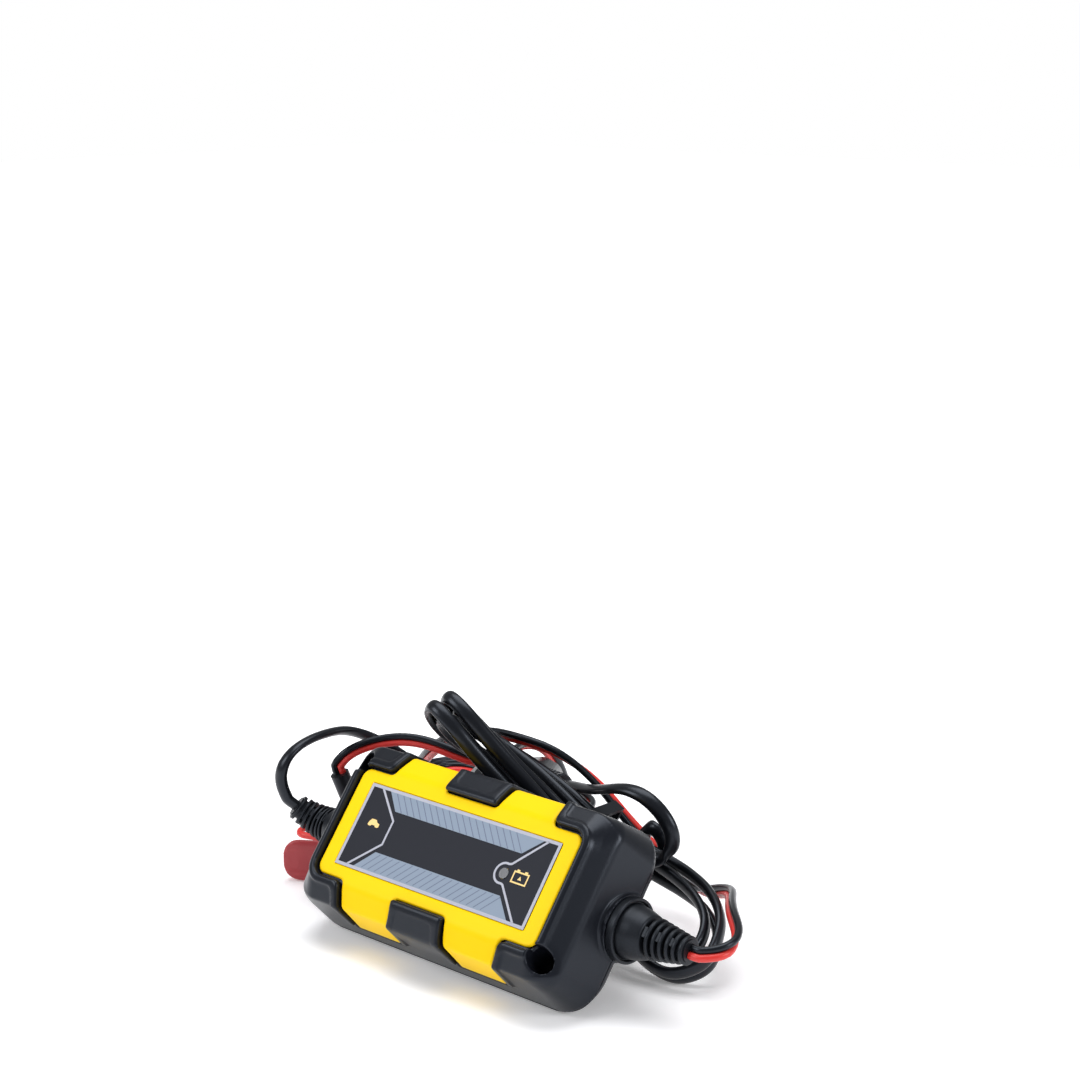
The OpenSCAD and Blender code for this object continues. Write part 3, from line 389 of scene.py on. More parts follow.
# %% [markdown]
# ## Where the casing stands
# The charger leans back on its lower rear flank. Its casing, label and strain reliefs are drawn flat, as a
# maker would draw them, with u along the face, v across it and n out of it, and leaned() then sets them
# down.

# %% The leaned casing
LEAN = math.radians(51.4)
CASE_AT = np.array([0, -13.0213, 39.746])
HALF_L, PART_AT = 61.2, -23


def unit(v):
    v = np.asarray(v, float)
    return v / np.linalg.norm(v)


def leaned(p):
    """Points of the casing, along, across and out of its face, to where the leaned casing has them."""
    p = np.asarray(p, float)
    c, s = math.cos(LEAN), math.sin(LEAN)
    return np.stack([p[..., 0], p[..., 1] * c - p[..., 2] * s, p[..., 1] * s + p[..., 2] * c], -1) + CASE_AT


print("middle of the face:", leaned([0, 0, 0]).round(2), "mm")

# %% [markdown]
# ## Leads
# A flat two-core lead goes to the mains and a red and black twin lead to the clamps. The spare length of
# each is wound into a hank. A rigid-body or cloth solver could lay the leads, but it would take minutes and
# land a little differently each time. Here a hank is a formula: a loop that narrows to its folds, repeated
# a pitch apart.

# %% The two hanks
LOOP_RINGS = 24
MAINS_FROM, MAINS_LOOPS, MAINS_CLIMB = -0.5, 3.5, 6.4
OUTPUT_FROM, OUTPUT_LOOPS = 3.25, 2.25
TOP_FOLD, LOW_FOLD, HANK_MID = (np.array(v, float) for v in ([-38, 31, 66], [64, 34, 10.8], [6, 45, 34]))
hank_along = unit(TOP_FOLD - LOW_FOLD)
hank_out = unit(np.cross([-0.63, 0.695, -0.344], hank_along))
MAINS_HANK = {"half": np.linalg.norm(TOP_FOLD - LOW_FOLD) / 2,
              "wide": 18.5, "swell": -1, "nip": 2, "pitch": 5.2,
              "mid": HANK_MID, "along": hank_along, "across": np.cross(hank_along, hank_out), "out": hank_out,
              "bow": (TOP_FOLD + LOW_FOLD) / 2 - HANK_MID, "roll": 35, "twist": 42}
OUTPUT_HANK = {"half": 32, "wide": 12, "swell": 0, "nip": 2, "pitch": 3.4,
               "mid": np.array([-100, 122, 2.55]), "along": np.array([1.0, 0, 0]),
               "across": np.array([0, 1.0, 0]), "out": np.array([0, 0, 1.0]), "bow": np.zeros(3),
               "roll": 0, "twist": 0}


def ease(x):
    c = min(1, max(0, x))
    return c * c * (3 - 2 * c)


def loop_at(hank, q):
    """Turn q of a flat loop, along and across the hank."""
    turn = 2 * math.pi * q
    wide = hank["wide"] + hank["swell"] * math.sin(turn)
    across = wide * math.cos(turn) - (wide - hank["nip"]) * math.cos(turn) ** 3
    return np.array([-hank["half"] * math.sin(turn), across])


def loop_out(hank, q):
    d = unit(loop_at(hank, q + 0.001) - loop_at(hank, q - 0.001))
    return np.array([d[1], -d[0]])


def hank_ring(hank, q, out, height):
    """Place and wide direction of the lead at turn q, some pitches out and some height off the plane."""
    w = loop_at(hank, q) + loop_out(hank, q) * hank["pitch"] * out
    roll = math.radians(hank["roll"] - hank["twist"] * w[0] / hank["half"])
    side = hank["across"] * math.cos(roll) + hank["out"] * math.sin(roll)
    wide = unit(np.cross(side, hank["along"] + 2 * hank["bow"] * w[0] / (hank["half"] * hank["half"])))
    place = hank["mid"] + hank["along"] * w[0] + side * w[1] + wide * height
    return place + hank["bow"] * (w[0] / hank["half"]) ** 2, wide


mains_q = [MAINS_FROM + i / LOOP_RINGS for i in range(round(MAINS_LOOPS * LOOP_RINGS) + 1)]
output_q = [OUTPUT_FROM - i / LOOP_RINGS for i in range(round(OUTPUT_LOOPS * LOOP_RINGS) + 1)]
mains_turns = [hank_ring(MAINS_HANK, q, 2 - abs(q - 1), MAINS_CLIMB * (ease((q - 1) * 2 + 0.5) - 0.5))
               for q in mains_q]
output_turns = [hank_ring(OUTPUT_HANK, q, q, 0) for q in output_q]
print("hanks:", MAINS_LOOPS, "and", OUTPUT_LOOPS, "turns")

# %% [markdown]
# Between the strain reliefs, the hanks and the far ends, a lead goes where someone once dropped it. No
# formula gives that, so these points are listed one by one.

# %% Chosen points of the leads
mains_start_route = [[-90, -3.5, 38], [-90, -4.5, 44], [-89, -1, 50], [-89, 8, 53], [-90, 19, 53],
    [-92, 30, 51], [-89, 42, 45], [-77, 51, 35], [-62, 54, 28], [-44, 56, 25], [-26, 60, 22.5],
    [-8, 64, 19], [5, 66, 18], [15, 65, 22], [21, 62, 29], [24, 60, 35], [28, 57.5, 37], [32, 60, 32],
    [31, 62, 25], [28, 60, 19], [23, 52, 15.5], [17, 46, 18.5]]
mains_end_route = [[20, 46.5, 31.5], [27, 46, 30], [34, 46.5, 28.5], [40, 48.5, 30], [44, 50, 35],
    [44, 49, 41], [40, 48, 47], [33, 47, 51.5], [25, 47, 52], [17, 48.5, 49.5], [9, 51.5, 46.5],
    [0, 56, 43.5]]
output_start_route = [[93.2, 5.6, 25.6], [97, 8.2, 26.3], [98, 12.3, 27.3], [95.2, 17.8, 28.4],
    [89.5, 23.8, 28.9], [83, 30.4, 28.3], [76.6, 38, 27.3], [70.8, 45.6, 25.8], [64.4, 54.4, 23.8],
    [55.2, 60.4, 19.8], [44, 66.3, 14.6], [32, 72, 13.5], [22, 73.5, 18],
    [14, 70, 26], [7.5, 67, 33], [1.8, 65.9, 39.3], [-4, 63.3, 45.2], [-9.7, 59.8, 50.4], [-16.8, 55.2, 55],
    [-26, 52, 56.5], [-37, 52, 56.5], [-49, 52, 54], [-62, 53, 49], [-76, 57, 40],
    [-94, 68, 27], [-114, 82, 12], [-130, 93, 3.5], [-140, 104, 2.6], [-143, 114, 2.6]]
output_end_route = [[-88, 127, 3], [-78, 126, 6.5], [-69, 121.5, 11], [-62.5, 115, 17], [-60, 109.5, 24],
    [-59, 104.5, 30.5], [-57, 98, 35.7], [-54.5, 89, 39.7], [-52, 80, 42], [-48.5, 71, 43], [-45, 62, 43],
    [-44, 54, 43], [-52, 49, 45], [-61, 45.5, 48], [-70, 42, 49.5], [-79, 37.5, 48.5], [-85, 31, 46.5],
    [-88, 26.5, 44.5], [-91.5, 24.5, 41]]
print("chosen points of the mains lead:", len(mains_start_route) + len(mains_end_route))
print("chosen points of the output lead:", len(output_start_route) + len(output_end_route))

# %% [markdown]
# The right strain relief is straight, and the left one droops under its lead, rib by rib. Both are drawn
# straight, and the left one is bent along an arc afterwards. A Simple Deform modifier bends too, but these
# functions also say where each lead starts.

# %% Straight and bent reliefs
BEND_N, RIB_N, RIB_PITCH, RIB_LAP, BEND_EACH, BEND_ROLL = 7, 6, 2.35, 0.5, 8, 12
RIBS_FROM = 11
BEND_LEN = BEND_N * RIB_PITCH + RIB_LAP
ARC_R = RIB_PITCH / math.radians(BEND_EACH)


def bent(p):
    """Points of a straight relief, x towards its bend and z along it, to where the bent relief has them."""
    p = np.asarray(p, float)
    along = np.maximum(p[..., 2], 0)
    turn = along / ARC_R
    x = ARC_R * (1 - np.cos(turn)) + p[..., 0] * np.cos(turn)
    z = ARC_R * np.sin(turn) - p[..., 0] * np.sin(turn) + np.minimum(p[..., 2], 0)
    roll = math.radians(BEND_ROLL)
    side = x * math.cos(roll) - p[..., 1] * math.sin(roll)
    out = x * math.sin(roll) + p[..., 1] * math.cos(roll)
    return leaned(np.stack([-HALF_L - RIBS_FROM - z, out, PART_AT + side], -1))


def straight(p):
    p = np.asarray(p, float)
    return leaned(np.stack([HALF_L + RIBS_FROM + p[..., 2], p[..., 1], PART_AT - p[..., 0]], -1))


bent_tip = bent([0, 0, BEND_LEN])
bent_dir = unit(bent([0, 0, BEND_LEN]) - bent([0, 0, BEND_LEN - 0.01]))
straight_tip = straight([0, 0, RIB_N * RIB_PITCH + RIB_LAP])
PLUG_AT, PLUG_DIR = np.array([-17, 64, 39.0]), unit([-0.87, 0.41, -0.26])
SLEEVE_AT, SLEEVE_DIR, SLEEVE_LEN = np.array([-91, 25, 36.0]), unit([1, 2, -6]), 9
print("tips of the reliefs:", bent_tip.round(2), straight_tip.round(2))


# %% [markdown]
# A lead is stiff, so its route has no corners. A curve that goes through every point is smooth but still
# swings from one to the next. Relaxing it helps: each point moves a little towards its neighbours, again
# and again. The wound turns are relaxed less, and the ends are held.

# %% A smooth route
STEP, HELD, WOUND_PASSES = 1.3, 5, 8


def ends(rings):
    return unit(rings[1][0] - rings[0][0]), unit(rings[-1][0] - rings[-2][0])


def turning(a, b, n):
    a, b = np.asarray(a, float), np.asarray(b, float)
    return [a * (1 - i / (n - 1)) + b * i / (n - 1) for i in range(n)]


def curve_through(points, wides, step):
    """A smooth curve through the points: its own points, its wide directions and its stretch numbers."""
    p, w = np.array(points, float), np.array(wides, float)
    gap = np.linalg.norm(np.diff(p, axis=0), axis=1)
    secant = np.diff(p, axis=0) / gap[:, None]
    between = (secant[:-1] * gap[1:, None] + secant[1:] * gap[:-1, None]) / (gap[1:] + gap[:-1])[:, None]
    slope = np.vstack([secant[:1], between, secant[-1:]])
    line, wide, stretch = [], [], []
    for i, g in enumerate(gap):
        count = max(1, math.ceil(g / step))
        own = count + (i == len(gap) - 1)
        t = (np.arange(own) / count)[:, None]
        line.append((2 * t**3 - 3 * t**2 + 1) * p[i] + (t**3 - 2 * t**2 + t) * g * slope[i]
                    + (3 * t**2 - 2 * t**3) * p[i + 1] + (t**3 - t**2) * g * slope[i + 1])
        wide.append(w[i] * (1 - t) + w[i + 1] * t)
        stretch += [i] * own
    return np.vstack(line), np.vstack(wide), np.array(stretch)


print("a route has a point every", STEP, "mm or less")

# %% [markdown]
# Relaxing is a loop over the same three slices: the points inside, those before them and those after them.
# The wide direction says how a flat lead faces. It is made square to the line at the end, and it may be
# turned about the line, which is how the twin lead shows its red core on one side or the other.

# %% Relaxed and twisted


def smooth_path(points, wides, step=STEP, wound=(0, 0), passes=24):
    """The curve through the points, relaxed, less where it is wound, and its wide directions."""
    line, wide, stretch = curve_through(points, wides, step)
    inside, before, after = slice(HELD, -HELD), slice(HELD - 1, -HELD - 1), slice(HELD + 1, 1 - HELD)
    free = ((stretch < wound[0]) | (stretch >= wound[1]))[inside, None]
    for i in range(passes):
        relaxed = (line[before] + 2 * line[inside] + line[after]) / 4
        line[inside] = np.where(free | (i < WOUND_PASSES), relaxed, line[inside])
    return line, squared(line, wide)[0]


def squared(line, wide):
    """The wide directions made square to the line, and the line's own directions."""
    along = np.gradient(line, axis=0)
    along /= np.linalg.norm(along, axis=1)[:, None]
    wide = wide - (wide * along).sum(1)[:, None] * along
    return wide / np.linalg.norm(wide, axis=1)[:, None], along


def twisted(path, marks):
    """The path with its wide direction turned about it, by the degrees given nearest to each mark."""
    line, wide = path
    reach = np.append(0, np.linalg.norm(np.diff(line, axis=0), axis=1).cumsum())
    at = [reach[np.linalg.norm(line - np.array(p, float), axis=1).argmin()] for p, _ in marks]
    turn = np.radians(np.interp(reach, at, [a for _, a in marks]))[:, None]
    return line, wide * np.cos(turn) + np.cross(squared(line, wide)[1], wide) * np.sin(turn)


def length_of(path):
    return float(np.linalg.norm(np.diff(path[0], axis=0), axis=1).sum()) * MM


print("wound turns are relaxed", WOUND_PASSES, "times")

# %% [markdown]
# The twin lead is twisted about itself where its red core should lie on the other side. Behind its sleeve,
# two single cores go on to the clamps, each given by its place, turn and side.

# %% Routes of the four leads
OUTPUT_TWIST = [((64, 54, 24), 180), ((22, 73.5, 18), 0), ((-74, 40, 49), -70), ((-88, 26.5, 44.5), -90)]
way_in, way_out = ends(mains_turns)
start = [bent_tip, bent_tip + 4 * bent_dir, *mains_start_route, mains_turns[0][0] - 8 * way_in]
over = [*mains_end_route, PLUG_AT - 7 * PLUG_DIR, PLUG_AT + 1.0 * PLUG_DIR]
after = [mains_turns[-1][0] + 7 * way_out, *over]
mains_path = smooth_path(start + [r[0] for r in mains_turns] + after,
    turning([1, 0.1, 0.3], mains_turns[0][1], len(start) + 1)[:-1] + [r[1] for r in mains_turns]
    + turning(mains_turns[-1][1], [0.4, 0.9, 0], len(after) + 1)[1:],
    wound=(len(start), len(start) + len(mains_turns)))
way_in, way_out = ends(output_turns)
start = [straight_tip - [1, 0, 0], straight_tip + [3.5, 0, 0], *output_start_route]
after = [output_turns[-1][0] + 6 * way_out, *output_end_route, SLEEVE_AT + 2 * SLEEVE_DIR]
output_path = twisted(smooth_path(start + [r[0] for r in output_turns] + after,
    turning([0, 0.6, 1], output_turns[0][1], len(start) + 1)[:-1] + [r[1] for r in output_turns]
    + turning(output_turns[-1][1], [0.6, -0.8, 0], len(after) + 1)[1:],
    wound=(len(start), len(start) + len(output_turns)), passes=44), OUTPUT_TWIST)

HANDLE, CLAMP_W = 42, 16
CLAMPS = {"red": (np.array([-65, 32.6, 0]), 25, -1, [[-93, 29, 21], [-100, 33, 17.3], [-108, 34.5, 12],
                  [-114.5, 31, 8.5], [-115, 26, 8]], -1.4),
          "black": (np.array([-45, 84, 0.0]), 0, 1, [[-90, 33, 21], [-92, 42, 14], [-96, 55, 9],
                    [-98, 66, 7.5]], 1.4)}


def core_path(at, turn, flip, route, side):
    a = math.radians(turn)
    wide = unit(np.array([1.0, 0, 0]) - SLEEVE_DIR[0] * SLEEVE_DIR)
    first = SLEEVE_AT + (SLEEVE_LEN - 2) * SLEEVE_DIR + side * wide
    inside = [[-HANDLE - 4, -10.4], [-HANDLE, -10.4], [-24, -8.3], [-6, -5.75], [1.9, -5.5], [4.9, -5.5]]
    c, s = math.cos(a), math.sin(a)
    last = [at + [x * c - y * flip * s, x * s + y * flip * c, CLAMP_W / 2] for x, y in inside]
    points = [first, first + 4 * SLEEVE_DIR, *route, *last]
    return smooth_path(points, turning([0, 1, 0.2], [-math.sin(a), math.cos(a), 0], len(points)), 0.9)


core_paths = {k: core_path(*v) for k, v in CLAMPS.items()}
print("mains lead", round(length_of(mains_path), 3), "m, output lead", round(length_of(output_path), 3), "m")

# %% [markdown]
# A bevelled curve object would sweep a round section, but it decides by itself how the section turns. The
# tree below takes the turn from the route's own wide direction, so a flat lead lies as it should. For the
# twin lead it sweeps two round cores side by side and gives the second one its own colour.

# %% The sweeping tree
APART = 0.94


def swept_core(add, link, curve, broad, thick, side, corners):
    """One core swept along the curve; the faces of the core on side 1 are marked as the second one's."""
    circle, size, sweep, mark = (add("GeometryNode" + k) for k in (
        "CurvePrimitiveCircle", "Transform", "CurveToMesh", "StoreNamedAttribute"))
    circle.inputs["Resolution"].default_value = corners
    circle.inputs["Radius"].default_value = 1.0
    link(circle.outputs["Curve"], size.inputs["Geometry"])
    link(vector(add, link, broad, thick), size.inputs["Scale"])
    beside = worked(add, link, "MULTIPLY", thick, APART * side)
    link(vector(add, link, beside), size.inputs["Translation"])
    link(curve, sweep.inputs["Curve"])
    link(size.outputs["Geometry"], sweep.inputs["Profile Curve"])
    sweep.inputs["Fill Caps"].default_value = True
    mark.data_type, mark.domain = "BOOLEAN", "FACE"
    mark.inputs["Name"].default_value = "second"
    mark.inputs["Value"].default_value = side > 0
    link(sweep.outputs["Mesh"], mark.inputs["Geometry"])
    return mark.outputs["Geometry"]


def lead_tree(twin):
    """The whole tree: a line of points comes in, and one or two coloured cores go out."""
    tree, add, link = tree_with("Twin lead" if twin else "Flat lead", [
        ("Half width", "Float"), ("Half thickness", "Float"), ("First", "Material"), ("Second", "Material")])
    given, out = add("NodeGroupInput"), add("NodeGroupOutput")
    curve, normal, facing, join, real, first = (add("GeometryNode" + k) for k in (
        "MeshToCurve", "SetCurveNormal", "InputNamedAttribute", "JoinGeometry", "RealizeInstances",
        "SetMaterial"))
    facing.data_type = "FLOAT_VECTOR"
    facing.inputs["Name"].default_value = "wide"
    normal.mode = "FREE"
    link(given.outputs["Geometry"], curve.inputs["Mesh"])
    link(curve.outputs["Curve"], normal.inputs["Curve"])
    link(facing.outputs["Attribute"], normal.inputs["Normal"])
    thick = given.outputs["Half thickness"]
    broad = thick if twin else given.outputs["Half width"]
    for side in ((-1, 1) if twin else (0,)):
        core = swept_core(add, link, normal.outputs["Curve"], broad, thick, side, 12 if twin else 18)
        link(core, join.inputs["Geometry"])
    link(join.outputs["Geometry"], real.inputs["Geometry"])
    link(real.outputs["Geometry"], first.inputs["Geometry"])
    link(given.outputs["First"], first.inputs["Material"])
    which, second = add("GeometryNodeInputNamedAttribute"), add("GeometryNodeSetMaterial")
    which.data_type = "BOOLEAN"
    which.inputs["Name"].default_value = "second"
    link(first.outputs["Geometry"], second.inputs["Geometry"])
    link(which.outputs["Attribute"], second.inputs["Selection"])
    link(given.outputs["Second"], second.inputs["Material"])
    link(second.outputs["Geometry"], out.inputs["Geometry"])
    return tree


FLAT, TWIN = lead_tree(False), lead_tree(True)
print("trees:", FLAT.name, "and", TWIN.name)

# %% [markdown]
# Each lead is swept once and rides on the casing's body. It is declared at the end, when the pieces that it
# carries are there too.

# %% The four leads
MAINS_HALF, TWIN_HALF, CORE_HALF = (2.6, 1.6), (2.5, 1.25), (1.25, 1.25)


def lead(name, path, half, tree, first, second, stands_for):
    line, wide = path
    o = piece(name, line, [], FINISH[first], body=None, edges=[(i, i + 1) for i in range(len(line) - 1)])
    facing = o.data.attributes.new("wide", "FLOAT_VECTOR", "POINT")
    facing.data.foreach_set("vector", wide.ravel())
    grow(o, tree, {"Half width": half[0] * MM, "Half thickness": half[1] * MM, "First": FINISH[first],
                   "Second": FINISH[second]})
    o.data.shade_smooth()
    print(name, len(o.data.polygons), "faces")
    return settle(o, "charger", stands_for, second)


def declare(o, path, half, far_end, stiffness, lay, with_pieces):
    line = path[0] * MM
    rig.cord(o, exit=line[0].tolist(), length=round(length_of(path), 3), diameter=round(2 * half[0] * MM, 4),
            far_end=far_end, stiffness=stiffness, lay=lay, path=line.tolist(), with_pieces=with_pieces)


mains_lead = lead("mains_lead", mains_path, MAINS_HALF, FLAT, "lead_vinyl", "lead_vinyl",
                  ["mains_lead_start", "mains_hank", "mains_lead_end"])
output_lead = lead("output_lead", output_path, TWIN_HALF, TWIN, "lead_vinyl", "twin_vinyl",
                   ["output_lead_start", "output_hank", "output_lead_end"])
cores = {k: lead(k + "_core_lead", core_paths[k], CORE_HALF, FLAT, vinyl, vinyl, [k + "_core"])
         for k, vinyl in (("red", "red_core_vinyl"), ("black", "lead_vinyl"))}

# %% [markdown]
# ## Moulded shapes
# A moulding has no knife edges, and a Bevel modifier gives up where many edges meet, as they do on the
# casing. So the casing and the grips are drawn as distance fields. Each shape gives the distance to its
# surface, negative inside, and a smooth maximum or minimum rounds the edge where two shapes meet by its own
# amount k.

# %% Distance fields


def least(a, b, k):
    h = np.maximum(k - np.abs(a - b), 0) / k
    return np.minimum(a, b) - h * h * k / 4


def most(a, b, k):
    return -least(-a, -b, k)


def side_of(a, b, x, y):
    """Distance from the line through a and b; positive on the left of the way from a to b."""
    dx, dy = b[0] - a[0], b[1] - a[1]
    return (dx * (y - a[1]) - dy * (x - a[0])) / math.hypot(dx, dy)


def under(points, x, y, k):
    """Inside of a convex outline given from top to bottom, on the left of its sides."""
    d = -1e3 + 0 * (x + y)
    for a, b in zip(points[:-1], points[1:]):
        d = most(d, side_of(a, b, x, y), k)
    return d


def box_corner(du, dv, r):
    return np.hypot(np.maximum(du + r, 0), np.maximum(dv + r, 0)) + np.minimum(np.maximum(du, dv) + r, 0) - r


print("a box corner of radius 1 is", round(float(box_corner(0, 0, 1)), 3), "away from its sharp corner")

# %% [markdown]
# A net of points is laid where the field is zero. A volume node could do it too, but it would blur fine
# edges. Each grid cell that the surface goes through gets one point, and each grid edge that it cuts gets
# one quad round it. The points are then pulled onto the surface along its slope.

# %% The net over a field
PULLS, NUDGE, LEAST_SLOPE = 3, 0.05, 0.05


def crossings(d, at, step):
    """Each grid edge that the surface cuts, as the four cells round it, the place of the cut and a quad."""
    cells, spots, quads = [], [], []
    for axis in range(3):
        e1, e2 = (axis + 1) % 3, (axis + 2) % 3
        a = np.take(d, range(d.shape[axis] - 1), axis)
        b = np.take(d, range(1, d.shape[axis]), axis)
        cut = np.argwhere((a < 0) != (b < 0))
        one, two = cut[:, e1], cut[:, e2]
        cut = cut[(one > 0) & (two > 0) & (one < d.shape[e1] - 1) & (two < d.shape[e2] - 1)]
        da, db = a[tuple(cut.T)], b[tuple(cut.T)]
        spot = np.stack([at[i][cut[:, i]] for i in range(3)], 1)
        spot[:, axis] += step * da / (da - db)
        around = []
        for p, q in ((1, 1), (0, 1), (0, 0), (1, 0)):
            cell = cut.copy()
            cell[:, e1] -= p
            cell[:, e2] -= q
            around.append(np.ravel_multi_index(tuple(cell.T), d.shape))
            spots.append(spot)
        cells += around
        quad = np.stack(around, 1)
        quad[da >= 0] = quad[da >= 0][:, ::-1]
        quads.append(quad)
    return np.concatenate(cells), np.concatenate(spots), np.concatenate(quads)


def pulled(points, field, step):
    """The points moved onto the surface along its slope."""
    for _ in range(PULLS):
        off = field(*points.T)
        slope = np.stack([(field(*(points + h).T) - field(*(points - h).T)) / (2 * NUDGE)
                          for h in np.eye(3) * NUDGE], 1)
        move = (off / np.maximum((slope**2).sum(1), LEAST_SLOPE))[:, None] * slope
        points = points - np.clip(move, -step / 2, step / 2)
    return points


def net(field, low, high, step, keep=None):
    """Points and quads on the surface where the field is zero; keep chooses quads by their middle points."""
    at = [np.arange(low[i], high[i] + step, step) for i in range(3)]
    grid = [at[0][:, None, None], at[1][None, :, None], at[2][None, None, :]]
    d = np.broadcast_to(field(*grid), [len(a) for a in at]).astype(np.float32)
    cells, spots, quads = crossings(d, at, step)
    cells, back = np.unique(cells, return_inverse=True)
    count = np.bincount(back)
    points = np.stack([np.bincount(back, spots[:, i]) / count for i in range(3)], 1)
    points, quads = pulled(points, field, step), np.searchsorted(cells, quads)
    if keep is not None:
        quads = quads[keep(*points[quads].mean(1).T)]
        used, back = np.unique(quads, return_inverse=True)
        points, quads = points[used], back.reshape(quads.shape)
    return points, quads


print("each point is pulled", PULLS, "times onto the surface")

# %% [markdown]
# Flat parts of a net need few faces, so a Decimate modifier halves them. The finished piece then takes the
# place of its CAD node, on the same body.

# %% A moulding
KEPT_SHARE = 0.5


def moulded(name, field, low, high, step, place, material, stands_for, keep=None, body="charger"):
    """A piece from a distance field, thinned where it is flat."""
    points, quads = net(field, low, high, step, keep)
    if np.linalg.det(place(np.eye(3)) - place(np.zeros((1, 3)))) < 0:
        quads = quads[:, ::-1]
    o = piece(name, place(points), quads, FINISH[material], body=None)
    thin = o.modifiers.new("thin", "DECIMATE")
    thin.ratio = KEPT_SHARE
    frozen(o)
    o.data.shade_smooth()
    print(name, len(quads), "quads, thinned to", len(o.data.polygons), "faces")
    return settle(o, body, stands_for, material)


print("a moulding keeps", KEPT_SHARE, "of its faces")

# %% [markdown]
# ## Casing
# The casing is two black shells that meet at a parting line, whose outlines along and across are below. A
# yellow plate wraps over the front one, inside a rounded lip, and a clip holds it in the middle of each long
# side. A fixing hole runs through two opposite corners, and four screws come in from the back. Box modelling
# with bevels could make all this, but here each size is a number that can be changed alone.

# %% Outlines of the casing
HALF_W, PLATE, NOTCH = 31.2, 49, 19.3
FRONT_U = [(52, 1), (55.1, -2.7), (57.7, -5.9), (HALF_L, PART_AT)]
FRONT_V = [(21.2, 1), (28.4, -2.7), (28.85, -5.9), (HALF_W, PART_AT)]
REAR_U = [(HALF_L, PART_AT), (60.9, -25), (52.92, -35), (51.62, -36)]
REAR_V = [(HALF_W, PART_AT), (30.9, -25), (22.92, -35), (21.62, -36)]
STRIP = [(0, 0), (20.8, 0), (27.7, -3.5), (30.1, -15.2)]
CLIP_SIDE = [(11.7, 19.3), (12.3, 27.7), (15.3, 33.1)]
NOTCH_SIDE = [(32.8, 33.1), (34.6, 27.7), (35.6, 19.3)]
TAB = [(19.4, 1.2), (20.1, 1.6), (21.2, 1.6), (28.6, -2.2), (29.4, -4.3), (29.7, -13), (29.8, -22)]
HOLES = [(-51.7, 21.2), (51.7, -21.2)]
SCREWS = [(49.2, 19.2), (-49.2, -19.2), (0, 24), (0, -24)]
WELL_R, BACK_WELL_R, HOLE_R, SCREW_R = 3.9, 3.5, 2.3, 2.9
FLOOR_AT, BACK_WELL_AT, SCREW_AT, BACK_AT = -27, -31, -27.5, -36
BOSS_R, BOSS_FROM = 10.9, 48
LIP_MID, LIP_HALF, LIP_LOW = 2.05, 1.3, -14
POCKET_GAP, POCKET_DEEP, POCKET_LOW = 0.75, 1.6, -15.6
PLATE_GAP, PLATE_SKIN, PLATE_LOW = 0.05, 1.4, -15.3
WINDOW_U, WINDOW_V, WINDOW_AT, TAB_HALF = 42.75, 15.0, -0.5, 11.35


def outline(u, v):
    """Distance to the yellow plate's outline, seen from above its face."""
    u, v = np.abs(u), np.abs(v)
    middle = box_corner(u - PLATE, v - NOTCH, 3.6)
    arm = most(arm_side(u, v), 16 - v, 0.5)
    return least(middle, arm, 2.2)


def arm_side(u, v):
    inner, outer = (most(side_of(a, b, u, v), side_of(b, c, u, v), 1.5)
                    for a, b, c in (CLIP_SIDE, NOTCH_SIDE))
    return most(inner, outer, 0.5)


def strip(v, n):
    return under(STRIP, np.abs(v), n, 0.8)


def envelope(u, v, n, along, across, corner, k):
    return box_corner(under(along, np.abs(u), n, k), under(across, np.abs(v), n, k), corner)


def drilled(d, u, v, n, spots, r, deep=-99.0, top=99.0, k=0.7):
    for a, b in spots:
        hole = most(most(np.hypot(u - a, v - b) - r, deep - n, 0.1), n - top, 0.1)
        d = most(d, -hole, k)
    return d


def boss(u, v, n):
    u = np.abs(u)
    return np.maximum(np.hypot(v, n - PART_AT) - BOSS_R, np.maximum(u - HALF_L, BOSS_FROM - u))


print("casing:", 2 * HALF_L, "by", 2 * HALF_W, "mm")

# %% [markdown]
# Each shell starts as its two outlines crossed, with corners that widen towards the parting line. The front
# one then gains its lip, loses the pocket for the plate, and gains its clips. The pocket is a little wider
# than the plate, which leaves the thin dark gap that tells the eye there are two pieces.

# %% Fields of the two shells and the plate


def front_shell(u, v, n):
    corner = np.interp(-n, [-1, 2.7, 5.9, -PART_AT], [3, 6, 7, 11])
    d = most(envelope(u, v, n, FRONT_U, FRONT_V, corner, 0.7), n - 1, 1.5)
    rim = outline(u, v)
    lip = np.maximum(np.abs(rim - LIP_MID) - LIP_HALF, np.maximum(d - 0.5, LIP_LOW - n))
    d = least(d, lip, 1.2)
    pocket = np.maximum(rim - POCKET_GAP, np.maximum(-strip(v, n) - POCKET_DEEP, POCKET_LOW - n))
    d = most(d, -pocket, 1.3)
    tab = most(under(TAB, np.abs(v), n, 0.8), np.abs(u) - TAB_HALF, 1.0)
    tab = most(tab, NOTCH + 0.4 - np.abs(v), 0.8)
    d = least(d, tab, 0.3)
    d = drilled(least(d, boss(u, v, n), 0.8), u, v, n, HOLES, WELL_R)
    return most(d, PART_AT - n, 0.5)


def rear_shell(u, v, n):
    corner = np.interp(-n, [-PART_AT, 25, 35, 36], [11, 11, 5, 4])
    d = most(envelope(u, v, n, REAR_U, REAR_V, corner, 0.6), BACK_AT - n, 1.2)
    d = drilled(least(d, boss(u, v, n), 0.8), u, v, n, HOLES, WELL_R, deep=FLOOR_AT)
    d = drilled(drilled(d, u, v, n, HOLES, BACK_WELL_R, top=BACK_WELL_AT), u, v, n, HOLES, HOLE_R, k=0.3)
    return most(drilled(d, u, v, n, SCREWS, SCREW_R, top=SCREW_AT), n - PART_AT, 0.5)


